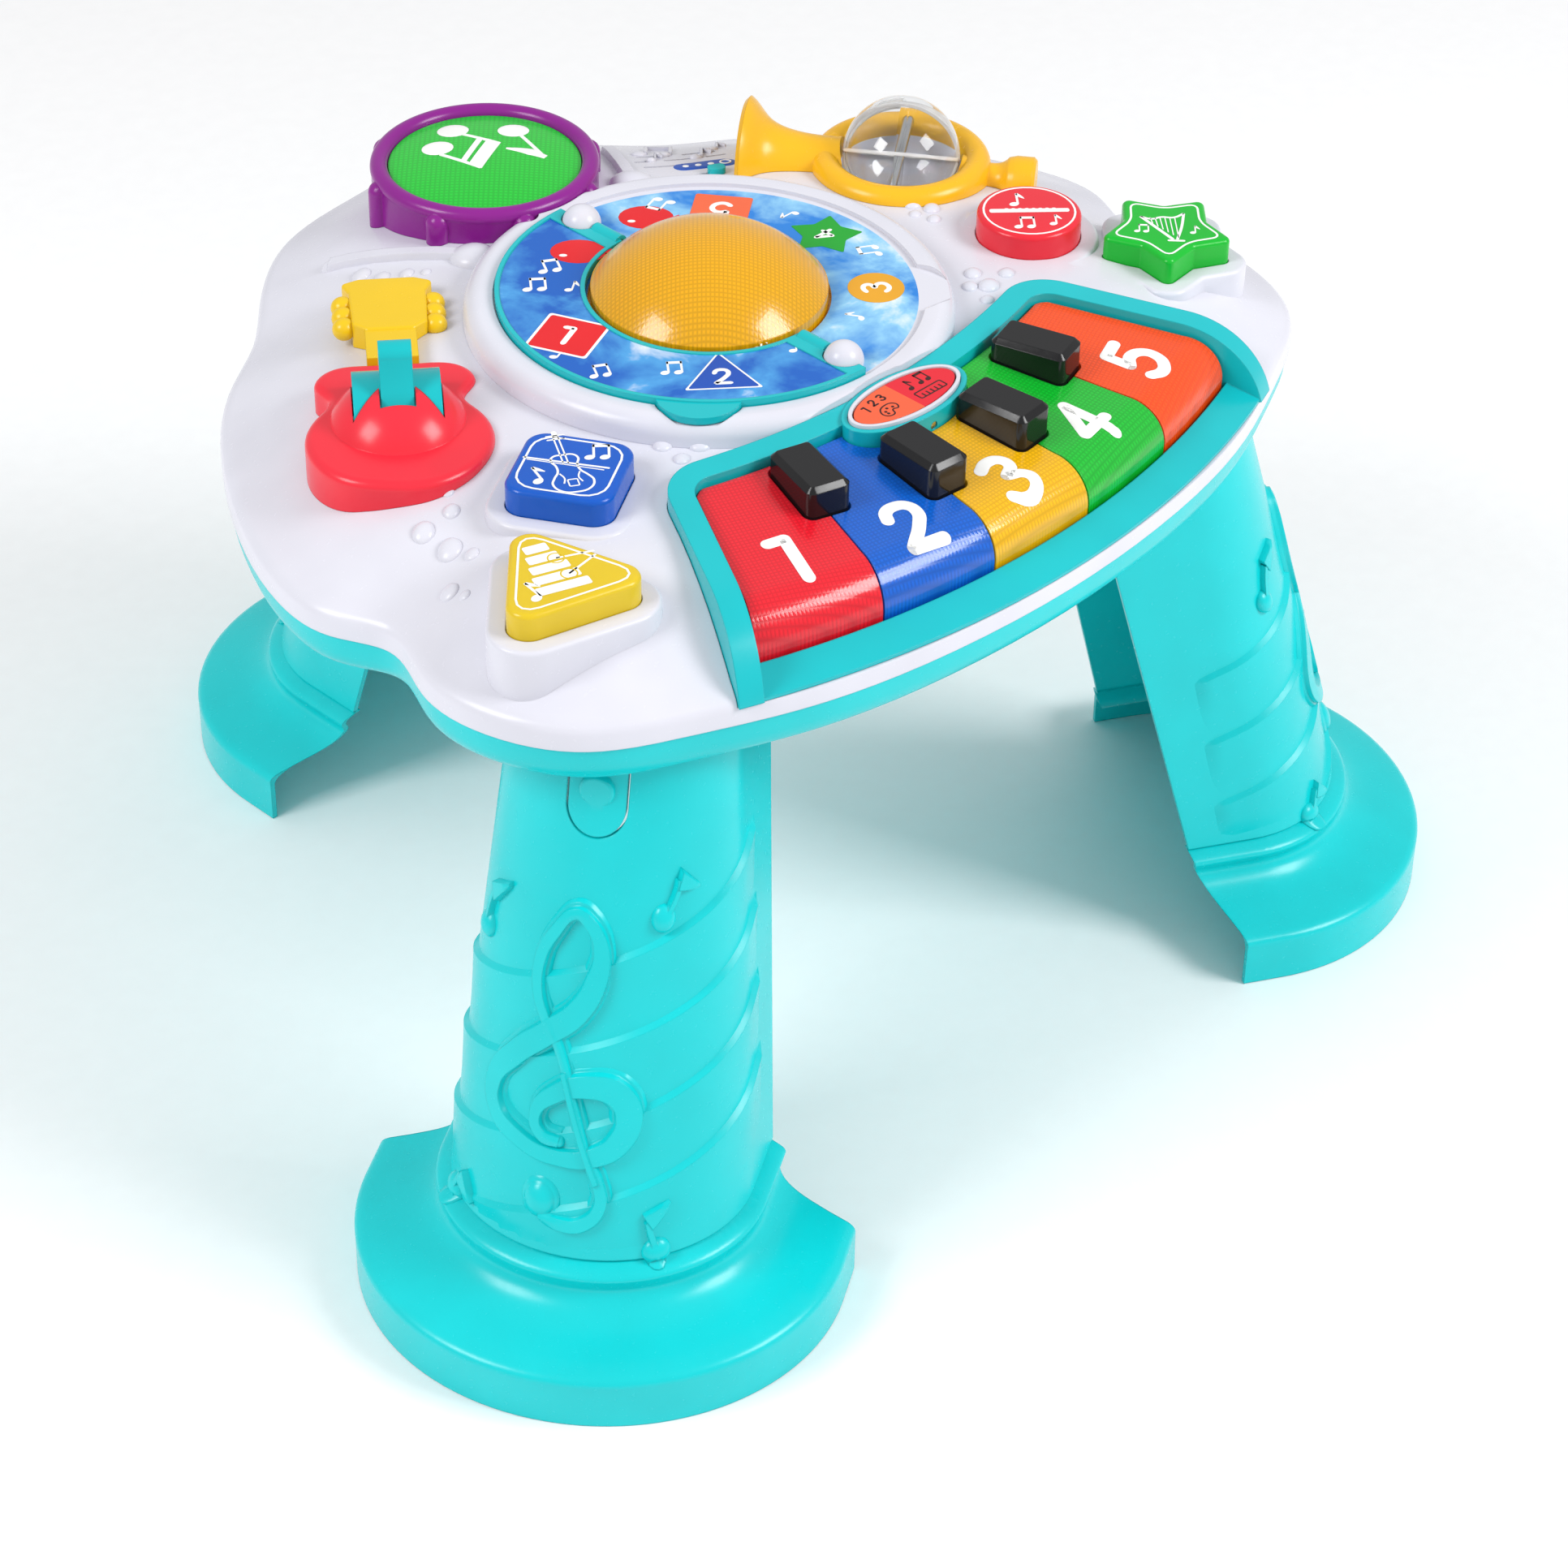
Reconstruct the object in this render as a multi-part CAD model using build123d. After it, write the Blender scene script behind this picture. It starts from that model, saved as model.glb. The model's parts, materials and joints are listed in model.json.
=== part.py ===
from build123d import *
import math
import os

# Musical activity table for a standing baby. All lengths are millimetres.
# Table coordinates: X to the right and Y away from the player at the piano, Z up from the floor,
# with the vertical axis of the three legs at X = Y = 0. `save` then moves every piece by
# FOOTPRINT_SHIFT, so that the stored origin is the middle of the footprint, on the floor.

# ---------------------------------------------------------------- driving sizes
# Deck cover and base shell: radius of the rim at each angle from +X, mirrored about the Y axis.
RIM_RADII = {
    90: 270, 76: 266, 64: 250, 55: 240, 45: 244, 32: 249, 18: 256, 8: 262, 0: 260,
    -6: 251, -13: 267, -21: 279, -30: 277, -39: 258, -51: 237, -72: 212.5, -90: 206,
}
PARTING_Z = 314.0           # where the white cover meets the teal base
RIM_BAND = 8.0              # upright band of the cover above the parting line
DECK_Z = 357.0              # flat middle of the deck
SKIRT_DEPTH = 23.0          # base shell, parting line to its flat floor
SKIRT_TUCK = 24.0           # how far the skirt curves under
WALL = 2.6                  # moulded wall of cover and base
SEAT_GAP = 0.15             # under a moulding that follows the deck
FIT_GAP = 0.3               # between pieces that move past or rest beside each other
PIN_GAP = 0.05              # radial running clearance of a pin in its bore

# Legs: three half shells, open towards the middle.
LEG_ANGLES = {"front_left": -150.0, "front_right": -30.0, "back": 90.0}
LEG_WALL = 3.0
LEG_TOP_Z = 291.0
LEG_TOP = (155.0, 205.0, 251.0, 52.0)     # open edge, widest line, front, half width
LEG_LOW_Z = 46.0
LEG_LOW = (221.0, 256.0, 323.0, 73.0)
FOOT_LIP_Z = 27.0
FOOT = (236.0, 258.0, 368.0, 117.0)
BEAD = 6.0                  # rolled bead above the foot
LATCH_BUTTON_Z = 277.0
LATCH_BUTTON = 8.0
LATCH_WIDTH = 26.0
LATCH_HEIGHT = 33.0
LATCH_TOP_GAP = 2.0         # leg left above the latch
LATCH_SLOT = 1.0            # open slot round the latch
LATCH_ROOT = 2.2            # radius of the roll that the latch flexes about
STUB_DEPTH = 30.0
STUB_WALL = 3.0

# Keyboard: keys fan out from FAN_Y, between arcs about ARC_Y.
FAN_Y = 137.0
ARC_Y = 298.0
KEY_ANGLE = 11.2
KEY_COUNT = 5
KEY_GAP = 0.9
KEY_BACK = 396.5
KEY_NOSE = 485.5
KEY_BACK_Z = 361.0
KEY_FRONT_Z = 354.0
KEY_NOSE_LENGTH = 20.0
KEY_UNDER_Z = 328.0
KEY_WALL = 2.4
KEY_CORNER = 12.0
KEY_PIVOT = 382.5
KEY_PIVOT_Z = 340.0
PIN_RADIUS = 2.0
RAIL_WIDTH = 12.0
RAIL_RISE = 5.5             # rail top above the key tops
TRAY_Z = 315.5
TRAY_WALL = 2.5
TRAY_FRONT = 497.0
RAIL_FRONT = 504.5
BLACK_KEY_LENGTH = 38.0
BLACK_KEY_WIDTH = 22.0
BLACK_KEY_CORNER = 4.0
BLACK_KEY_Z = 372.0
BLACK_KEY_AT = (262.0, 275.5)             # outer pair, inner pair: distance from the fan point

# Mode switch: an oval rocker in a boss of the keyboard rail.
MODE_Y = -101.0
MODE_LENGTH = 31.0
MODE_WIDTH = 12.6
MODE_RIM = 2.8
MODE_BOSS = 3.2
MODE_Z = 368.5
MODE_PLATE = 3.4
MODE_CLEARANCE = 0.8        # between the rocker and its rim, for the tilt

# Book with its light dome.
BOOK_Y = 24.0
BOOK_RADIUS = 101.0
BEZEL_RADIUS = 116.0
BOOK_FLOOR_Z = 367.5
BOOK_FLOOR = 3.2
BEZEL_Z = 369.5
PAGE_THICK = 4.8
PAGE_TAB = 20.0
PAGE_TAB_ANGLE = 222.0
PAGE_TAB_AT = 94.0
PAGE_BORDER = 2.2
PAGE_RECESS = 0.6
HINGE_BARREL = 4.2
HINGE_LENGTH = 17.0
HINGE_START = 60.0
KNOB_RADIUS = 9.5
DOME_RADIUS = 56.0
DOME_HEIGHT = 28.0
DOME_BASE_Z = 373.0
DOME_WALL = 2.2

# Drum.
DRUM_AT = (7.0, 187.0)
DRUM_RADIUS = 56.0
DRUM_HEAD_RADIUS = 47.5
DRUM_Z = 374.0
DRUM_BEAD = 3.2
DRUM_WALL = 5.0
DRUM_LUGS = 8
DRUM_LUG_RADIUS = 6.0
DRUM_TRAVEL = 2.5
HEAD_CROWN = 3.0

# Guitar: u runs from the body to the headstock, v to its left.
GUITAR_AT = (-174.5, 47.5)
GUITAR_ANGLE = 51.0
GUITAR_OUTLINE = [(-45, 0), (-37, 27), (-12, 42), (16, 37), (29, 31), (43, 37), (55, 30), (58, 12)]
GUITAR_Z = 361.0
GUITAR_EDGE = 4.0
GUITAR_DOME_AT = 10.0
GUITAR_DOME_RADIUS = 31.0
GUITAR_DOME_HEIGHT = 19.0
LEVER_AT = 15.0
LEVER_WIDTH = 40.0
LEVER_RADIUS = 22.5
LEVER_AXIS_Z = 357.0
LEVER_FIN_WIDTH = 15.0
LEVER_FIN_Z = 398.0
NECK_START = 60.0
NECK_WIDTH = 24.0
HEADSTOCK_START = 84.0
HEADSTOCK_END = 130.0
HEADSTOCK_WIDTH = 44.0
HEADSTOCK_Z = 363.0
PEG_RADIUS = 5.5
PEG_SPACING = 9.5

# Horn with its roller ball.
HORN_AT = (171.0, 59.0)
HORN_ANGLE = -54.5          # from the bell towards the mouthpiece
HORN_RING = 38.0
HORN_RING_BAND = 7.0
HORN_AXIS_Z = 352.0
HORN_RING_Z = 357.0
HORN_BELL_AT = 80.0
HORN_BELL_RADIUS = 31.0
HORN_TUBE_RADIUS = 12.0
MOUTHPIECE_AT = 68.0
MOUTHPIECE_RADIUS = 12.5
BALL_RADIUS = 29.5
BALL_WALL = 1.8
BALL_Z = 361.0

# Four instrument buttons: place, turn in degrees, pad height.
BUTTONS = {
    "blue": ((-150.0, -38.0), 30.5, 357.0),
    "yellow": ((-207.5, -92.0), 75.0, 354.5),
    "red": ((164.0, -32.0), 0.0, 356.5),
    "green": ((203.0, -86.0), 79.0, 354.0),
}
BUTTON_RISE = 13.0
BUTTON_TRAVEL = 3.0
BUTTON_ROUND = 2.5
BUTTON_FLANGE = 2.2
PAD_MARGIN = 9.0
PAD_ROUND = 2.0
SQUARE_SIDE = 50.0
SQUARE_CORNER = 10.0
TRIANGLE_REACH = 25.5
TRIANGLE_CORNER = 9.5
DISC_RADIUS = 25.5
STAR_TIP = 34.0
STAR_WAIST = 21.5
STAR_ROUND = 3.5

# Speaker grille, slider and what is inside.
SPEAKER_AT = (104.0, 148.0)
SPEAKER_ANGLE = -29.0
SPEAKER_RADIUS = 25.0
SLOT_WIDTH = 1.8
SLOT_PITCH = 9.0
SLIDER_AT = (101.0, 119.5)
SLIDER_DECK_Z = 354.3       # the deck's height there
SLIDER_TRAVEL = 9.0
SLIDER_KNOB = (9.0, 6.0)
BATTERY_RADIUS = 7.15
BATTERY_LENGTH = 49.5
BATTERY_COUNT = 3
BATTERY_PITCH = 15.4
BOARD_THICK = 1.6
BOARD_Z = 318.0
SWITCH_HEIGHT = 4.0
SCREW_RADIUS = 1.5
SCREW_GRIP = 12.0           # how far a case screw goes into the cover
BOSS_RADIUS = 4.5
SWITCH_BOARD_Z = 330.0
BOARD_SIZE = (116.0, 66.0)
BOARD_AT = (0.0, 24.0)
CASE_SCREWS = [(222, 40), (-222, 40), (104, 182), (-104, 182), (172, -139), (-172, -139)]
BATTERY_AT = (0.0, 24.0)
SPEAKER_RIM_Z = 334.0
LEVER_TRAVEL = 18.0         # degrees to each side

# ---------------------------------------------------------------- worked out from the above
BASE_FLOOR_Z = PARTING_Z - SKIRT_DEPTH
KEY_SPAN = KEY_ANGLE * KEY_COUNT / 2
FOOT_CENTRE, FOOT_REACH, FOOT_HALF = FOOT[1], FOOT[2] - FOOT[1], FOOT[3]
FRONT_REACH = FOOT_CENTRE * math.sin(math.radians(30)) + math.hypot(
    FOOT_REACH * math.sin(math.radians(30)), FOOT_HALF * math.cos(math.radians(30))
)
FOOTPRINT_SHIFT = (FRONT_REACH - FOOT[2]) / 2
PAGE_BOTTOM_Z = BOOK_FLOOR_Z + FIT_GAP
HINGE_Z = PAGE_BOTTOM_Z + PAGE_THICK / 2
FRONT_WALL_Z = PARTING_Z + RIM_BAND + 1.0
MODE_AXIS_Z = MODE_Z - 8.0
HINGE_END = HINGE_START + HINGE_LENGTH
KNOB_AT = HINGE_END + FIT_GAP + KNOB_RADIUS
LATCH_TOP_Z = LEG_TOP_Z - LATCH_TOP_GAP
FLOOR_TOP_Z = BASE_FLOOR_Z + WALL
SWITCH_TOP_Z = SWITCH_BOARD_Z + BOARD_THICK + SWITCH_HEIGHT
SWITCH_PLACES = [place for place, _, _ in BUTTONS.values()] + [DRUM_AT]
BOARD_POSTS = [(BOARD_AT[0] + x * 52, BOARD_AT[1] + y * 27) for x in (-1, 1) for y in (-1, 1)]
BOX_LENGTH = BATTERY_LENGTH + 5.0
BOX_WIDTH = BATTERY_COUNT * BATTERY_PITCH + 1.0
BATTERY_Z = FLOOR_TOP_Z + FIT_GAP + BATTERY_RADIUS
DOOR_SIZE = (BOX_LENGTH + 22, BOX_WIDTH + 8)
DOOR_SCREW_AT = (BATTERY_AT[0] + DOOR_SIZE[0] / 2 - 6.0, BATTERY_AT[1])

os.makedirs("parts", exist_ok=True)


# ---------------------------------------------------------------- small helpers
def save(name, shape):
    """Writes one node, moved to the stored origin."""
    export_step(Pos(0, FOOTPRINT_SHIFT, 0) * shape, f"parts/{name}.step")


def polar(radius, degrees):
    """The plan point at a radius and an angle from +X."""
    angle = math.radians(degrees)
    return radius * math.cos(angle), radius * math.sin(angle)


def prism(face, low, high):
    """A face drawn on the XY plane, as an upright prism between two heights."""
    return Pos(0, 0, low) * extrude(face, high - low)


def tube(outer, inner, low, high):
    """An upright round tube at the origin."""
    return prism(Circle(outer) - Circle(inner), low, high)


def rod(radius, length, centre, plan_angle):
    """A level round rod, centred on a point and pointing along a plan angle."""
    return Pos(*centre) * Rot(0, 0, plan_angle) * Rot(0, 90, 0) * Cylinder(radius, length)


def block(x_range, y_range, z_range):
    """A box between three pairs of limits."""
    size = [high - low for low, high in (x_range, y_range, z_range)]
    middle = [(high + low) / 2 for low, high in (x_range, y_range, z_range)]
    return Pos(*middle) * Box(*size)


def group(pieces):
    """Separate solids that share one node."""
    return Compound(children=[solid for piece in pieces for solid in piece.solids()])


# ---------------------------------------------------------------- deck and base forms
def rim_wire(z, inset):
    """The lobed rim outline at a height, drawn in by an inset."""
    right = [(RIM_RADII[angle] - inset, angle) for angle in RIM_RADII]
    left = [(radius, 180 - angle) for radius, angle in reversed(right[1:-1])]
    points = [Vector(*polar(radius, angle), z) for radius, angle in right + left]
    return Wire([Edge.make_spline(points, periodic=True)])


def mound(thinner):
    """The deck's solid form. `thinner` draws it in and down, for the inside of the shell."""
    band_top = PARTING_Z + RIM_BAND
    crown = [
        (0.0, band_top),
        (0.8, band_top + 2.3),
        (2.8, band_top + 4.3),
        (6.0, band_top + 5.8),
        (11.0, DECK_Z - 27.2),
        (20.0, DECK_Z - 22.6),
        (32.0, DECK_Z - 17.0),
        (46.0, DECK_Z - 11.6),
        (62.0, DECK_Z - 7.0),
        (80.0, DECK_Z - 3.4),
        (98.0, DECK_Z - 1.2),
        (120.0, DECK_Z),
    ]
    low = PARTING_Z - (WALL if thinner else 0)
    wires = [rim_wire(z - thinner, inset + thinner) for inset, z in crown]
    return Solid.make_loft([rim_wire(low, thinner), *wires], ruled=True)


def tray_form(thinner):
    """The base's solid form, curving under to a flat floor."""
    skirt = [
        (1.2, PARTING_Z),
        (1.8, PARTING_Z - 0.42 * SKIRT_DEPTH),
        (3.2, PARTING_Z - 0.61 * SKIRT_DEPTH),
        (5.2, PARTING_Z - 0.75 * SKIRT_DEPTH),
        (SKIRT_TUCK * 0.34, PARTING_Z - 0.85 * SKIRT_DEPTH),
        (SKIRT_TUCK * 0.52, PARTING_Z - 0.93 * SKIRT_DEPTH),
        (SKIRT_TUCK * 0.74, PARTING_Z - 0.98 * SKIRT_DEPTH),
        (SKIRT_TUCK, BASE_FLOOR_Z),
    ]
    wires = [rim_wire(z + thinner, inset + thinner) for inset, z in skirt]
    return Solid.make_loft(wires, ruled=True)


DECK_FORM = mound(0)
DECK_INSIDE = mound(WALL)
BASE_FORM = tray_form(0)
BASE_INSIDE = tray_form(WALL)
DECK_SEAT = Pos(0, 0, SEAT_GAP) * DECK_FORM


# ---------------------------------------------------------------- keyboard layout
def fan_reach(turn, radius):
    """Distance from the fan point, at a turn from -Y, to an arc about the arc point."""
    offset = ARC_Y - FAN_Y
    along = offset * math.cos(math.radians(turn))
    return -along + math.sqrt(along**2 - offset**2 + radius**2)


def on_fan(turn, shape):
    """Places a shape drawn with +X away from the fan point."""
    return Pos(0, FAN_Y, 0) * Rot(0, 0, turn - 90) * shape


def key_turns():
    """The middle angle of each key, from the lowest note to the highest."""
    return [(index - (KEY_COUNT - 1) / 2) * KEY_ANGLE for index in range(KEY_COUNT)]


def arc_ring(inner, outer, low, high):
    """A ring about the arc point."""
    return Pos(0, ARC_Y, 0) * tube(outer, inner, low, high)


def arc_turned(profile):
    """Turns a profile of (radius, height) points and arcs about the arc point, over the keyboard."""
    face = Plane.XZ * make_face(profile)
    return Pos(0, ARC_Y, 0) * Rot(0, 0, -90 - 45) * revolve(face, Axis.Z, 90)


def wedge(half_angle, side_cut):
    """The plan of one key's sector, with its sides moved in by side_cut."""
    half = math.radians(half_angle)
    near, far = 150.0, 420.0
    near_half = near * math.tan(half) - side_cut / math.cos(half)
    far_half = far * math.tan(half) - side_cut / math.cos(half)
    return make_face(
        Polyline((near, -near_half), (far, -far_half), (far, far_half), (near, near_half), close=True)
    )


def key_field(grow):
    """The plan that all five keys fill, with its back corners rounded, moved out by grow."""
    sector = Pos(0, FAN_Y) * Rot(0, 0, -90) * wedge(KEY_SPAN, -KEY_GAP / 2)
    back = Pos(0, ARC_Y) * Circle(KEY_BACK - KEY_GAP)
    field = sector - back
    corners = field.vertices().sort_by(Axis.Y)[-2:]
    field = fillet(corners, KEY_CORNER)
    return offset(field, grow, kind=Kind.ARC) if grow else field


def oval(grow):
    """The plan of the mode switch, moved out by grow."""
    return Pos(0, MODE_Y) * Ellipse(MODE_LENGTH + grow, MODE_WIDTH + grow)


def key_profile(inset):
    """A key's side view: sloping top, rounded nose, flat underside."""
    top_end = KEY_NOSE - KEY_NOSE_LENGTH
    back, nose = KEY_BACK + inset, KEY_NOSE - inset
    under = KEY_UNDER_Z - (1.0 if inset else 0.0)
    shoulder = (top_end - inset * 0.5, KEY_FRONT_Z - inset)
    crest = (KEY_NOSE - KEY_NOSE_LENGTH * 0.24 - inset * 0.7, KEY_FRONT_Z - 7.0 - inset * 0.7)
    chin = (nose, KEY_FRONT_Z - 22.0)
    return [
        Line((back, under), (back, KEY_BACK_Z - inset)),
        Line((back, KEY_BACK_Z - inset), shoulder),
        ThreePointArc(shoulder, crest, chin),
        Line(chin, (nose, under)),
        Line((nose, under), (back, under)),
    ]


def black_key_plan(grow):
    """The four black keys' plans, as one list of (turn, distance, rectangle)."""
    plans = []
    for step in (-1.5, -0.5, 0.5, 1.5):
        distance = BLACK_KEY_AT[0] if abs(step) > 1 else BLACK_KEY_AT[1]
        size = (BLACK_KEY_LENGTH + 2 * grow, BLACK_KEY_WIDTH + 2 * grow)
        plans.append((step * KEY_ANGLE, distance, RectangleRounded(*size, BLACK_KEY_CORNER + grow)))
    return plans


def black_key_posts(grow, low, high):
    """Upright prisms on the black keys' plans."""
    posts = []
    for turn, distance, plan in black_key_plan(grow):
        posts.append(on_fan(turn, Pos(distance, 0, 0) * prism(plan, low, high)))
    return posts


def make_key(turn):
    """One translucent key: a hollow shell with a rear tail that carries its hinge barrel."""
    side = KEY_GAP / 2
    outer = arc_turned(key_profile(0)) & on_fan(turn, prism(wedge(KEY_ANGLE / 2, side), 300, 400))
    inner_plan = prism(wedge(KEY_ANGLE / 2, side + KEY_WALL), 300, 400)
    void = arc_turned(key_profile(KEY_WALL)) & on_fan(turn, inner_plan)
    outer &= prism(key_field(0), 300, 400)
    void &= prism(key_field(-KEY_WALL), 300, 400)
    boss = KEY_GAP + MODE_RIM + MODE_BOSS
    roof_z = MODE_Z - 22.0
    for post in black_key_posts(KEY_WALL + 1.0, 300, 400):
        void -= post
    void -= prism(oval(boss + KEY_WALL), roof_z - KEY_WALL, 400)
    key = outer - void
    for post in black_key_posts(1.0, 300, 400):
        key -= post
    key -= prism(oval(boss), roof_z, 400)
    pivot = fan_reach(turn, KEY_PIVOT)
    rear = fan_reach(turn, KEY_BACK)
    tail = block((pivot, rear + KEY_WALL), (-8, 8), (KEY_PIVOT_Z - 3, KEY_PIVOT_Z + 3))
    barrel = Pos(pivot, 0, KEY_PIVOT_Z) * Rot(90, 0, 0) * Cylinder(4.0, 16)
    bore = Pos(pivot, 0, KEY_PIVOT_Z) * Rot(90, 0, 0) * Cylinder(PIN_RADIUS + PIN_GAP, 20)
    return key + on_fan(turn, tail + barrel) - on_fan(turn, bore)


def key_pin(turn):
    """The steel pin that one key hinges on."""
    pivot = fan_reach(turn, KEY_PIVOT)
    return on_fan(turn, Pos(pivot, 0, KEY_PIVOT_Z) * Rot(90, 0, 0) * Cylinder(PIN_RADIUS, 23))


def key_ears(turn):
    """The two upright ears of the tray that hold a key's pin."""
    pivot = fan_reach(turn, KEY_PIVOT)
    ears = Part()
    for side in (-1, 1):
        middle = side * (8 + FIT_GAP + 1.75)
        ears += block((pivot - 4, pivot + 4), (middle - 1.75, middle + 1.75), (TRAY_Z, KEY_PIVOT_Z + 4))
    bore = Pos(pivot, 0, KEY_PIVOT_Z) * Rot(90, 0, 0) * Cylinder(PIN_RADIUS + PIN_GAP, 30)
    return on_fan(turn, ears - bore)


def make_keyboard_frame():
    """The teal moulding: tray, hinge ears, raised rail round the keys, and the mode switch's boss."""
    rail_plan = key_field(RAIL_WIDTH + KEY_GAP) - key_field(KEY_GAP)
    arm_profile = [
        Line((KEY_BACK - 16, TRAY_Z), (KEY_BACK - 16, KEY_BACK_Z + RAIL_RISE)),
        Line((KEY_BACK - 16, KEY_BACK_Z + RAIL_RISE), (KEY_NOSE - 24, KEY_FRONT_Z + RAIL_RISE)),
        ThreePointArc(
            (KEY_NOSE - 24, KEY_FRONT_Z + RAIL_RISE),
            (KEY_NOSE + 2, KEY_FRONT_Z - 4.5),
            (RAIL_FRONT, FRONT_WALL_Z + FIT_GAP),
        ),
        Line((RAIL_FRONT, FRONT_WALL_Z + FIT_GAP), (TRAY_FRONT, FRONT_WALL_Z + FIT_GAP)),
        Line((TRAY_FRONT, FRONT_WALL_Z + FIT_GAP), (TRAY_FRONT, TRAY_Z)),
        Line((TRAY_FRONT, TRAY_Z), (KEY_BACK - 16, TRAY_Z)),
    ]
    rail = arc_turned(arm_profile) & prism(rail_plan, 300, 400)
    rail -= arc_ring(KEY_BACK - 20, KEY_BACK + 20, TRAY_Z, KEY_PIVOT_Z + 6.5) & on_fan(
        0, prism(wedge(KEY_SPAN, 0), 300, 400)
    )
    inside = prism(key_field(RAIL_WIDTH + KEY_GAP), 300, 400)
    floor = arc_ring(KEY_PIVOT - 8.5, TRAY_FRONT, TRAY_Z, TRAY_Z + TRAY_WALL)
    back = arc_ring(KEY_PIVOT - 8.5, KEY_PIVOT - 6, TRAY_Z, KEY_PIVOT_Z + 9)
    roof = arc_ring(KEY_PIVOT - 8.5, KEY_BACK - KEY_GAP, KEY_PIVOT_Z + 6.5, KEY_PIVOT_Z + 9)
    shell_plan = on_fan(0, prism(wedge(KEY_SPAN, -KEY_GAP - 2.5), 300, 400))
    tray = (floor + back + roof) & shell_plan
    lip = [
        Line((KEY_NOSE + 1.6, TRAY_Z), (KEY_NOSE + 1.6, KEY_UNDER_Z + 3)),
        Line((KEY_NOSE + 1.6, KEY_UNDER_Z + 3), (RAIL_FRONT - 1, FRONT_WALL_Z + 2)),
        Line((RAIL_FRONT - 1, FRONT_WALL_Z + 2), (RAIL_FRONT - 1, FRONT_WALL_Z + FIT_GAP)),
        Line((RAIL_FRONT - 1, FRONT_WALL_Z + FIT_GAP), (KEY_NOSE + 4, FRONT_WALL_Z + FIT_GAP)),
        Line((KEY_NOSE + 4, FRONT_WALL_Z + FIT_GAP), (KEY_NOSE + 4, TRAY_Z)),
        Line((KEY_NOSE + 4, TRAY_Z), (KEY_NOSE + 1.6, TRAY_Z)),
    ]
    lip = arc_turned(lip) & shell_plan
    frame = rail + (tray & inside) + tray + (lip & inside)
    for turn in key_turns():
        frame += key_ears(turn)
    boss = prism(oval(MODE_RIM + MODE_BOSS), MODE_Z - 21.0, MODE_Z - 1.5)
    pocket = prism(oval(MODE_RIM + FIT_GAP), MODE_Z - 18.5, MODE_Z)
    frame = frame + boss - pocket
    bore = Pos(0, MODE_Y, MODE_AXIS_Z) * Rot(90, 0, 0) * Cylinder(PIN_RADIUS + PIN_GAP, 80)
    return frame - bore


# ---------------------------------------------------------------- mode switch and black keys
def make_black_keys():
    """Four fixed black keys: chamfered caps on posts that stand on the tray."""
    keys = []
    for post in black_key_posts(0, TRAY_Z + TRAY_WALL, BLACK_KEY_Z):
        top = post.faces().sort_by(Axis.Z)[-1]
        keys.append(chamfer(top.edges(), 2.5))
    return group(keys)


def make_mode_rim():
    """The white oval rim round the mode switch."""
    ring = prism(oval(MODE_RIM) - oval(MODE_CLEARANCE), MODE_Z - 18.5, MODE_Z)
    return ring - Pos(0, MODE_Y, MODE_AXIS_Z) * Rot(90, 0, 0) * Cylinder(PIN_RADIUS + PIN_GAP, 80)


def make_mode_switch():
    """The oval rocker: a plate with a hub under it."""
    plate = prism(oval(0), MODE_Z - MODE_PLATE, MODE_Z - 0.4)
    hub = Pos(0, MODE_Y, MODE_AXIS_Z) * Rot(90, 0, 0) * Cylinder(5.0, 12)
    web = Pos(0, MODE_Y, MODE_Z - 5.5) * Box(6, 12, 5)
    bore = Pos(0, MODE_Y, MODE_AXIS_Z) * Rot(90, 0, 0) * Cylinder(PIN_RADIUS + PIN_GAP, 20)
    return plate + hub + web - bore


def make_mode_pin():
    """The steel pin under the rocker, held by the boss at both ends."""
    length = 2 * (MODE_WIDTH + MODE_RIM + MODE_BOSS) - 1.0
    return Pos(0, MODE_Y, MODE_AXIS_Z) * Rot(90, 0, 0) * Cylinder(PIN_RADIUS, length)


# ---------------------------------------------------------------- book and light dome
def at_book(shape):
    """Moves a shape from the book's centre to the table."""
    return Pos(0, BOOK_Y, 0) * shape


def turned(profile, degrees=360.0):
    """Turns a closed profile of (radius, height) pieces about Z."""
    return revolve(Plane.XZ * make_face(profile), Axis.Z, degrees)


def outline(points):
    """A closed chain of straight lines."""
    return Polyline(*points, close=True)


def page_tab(grow, turn):
    """The plan of the page's finger tab."""
    return Pos(*polar(PAGE_TAB_AT, turn)) * Circle(PAGE_TAB + grow)


def hinge_rod(radius, start, end):
    """A rod on the hinge line, on both sides of the dome."""
    middle, length = (start + end) / 2, end - start
    rods = [Pos(0, side * middle, HINGE_Z) * Rot(90, 0, 0) * Cylinder(radius, length) for side in (-1, 1)]
    return rods[0] + rods[1]


def knob_balls(radius):
    """Spheres round the two hinge knobs."""
    return Pos(0, -KNOB_AT, HINGE_Z) * Sphere(radius) + Pos(0, KNOB_AT, HINGE_Z) * Sphere(radius)


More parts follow.
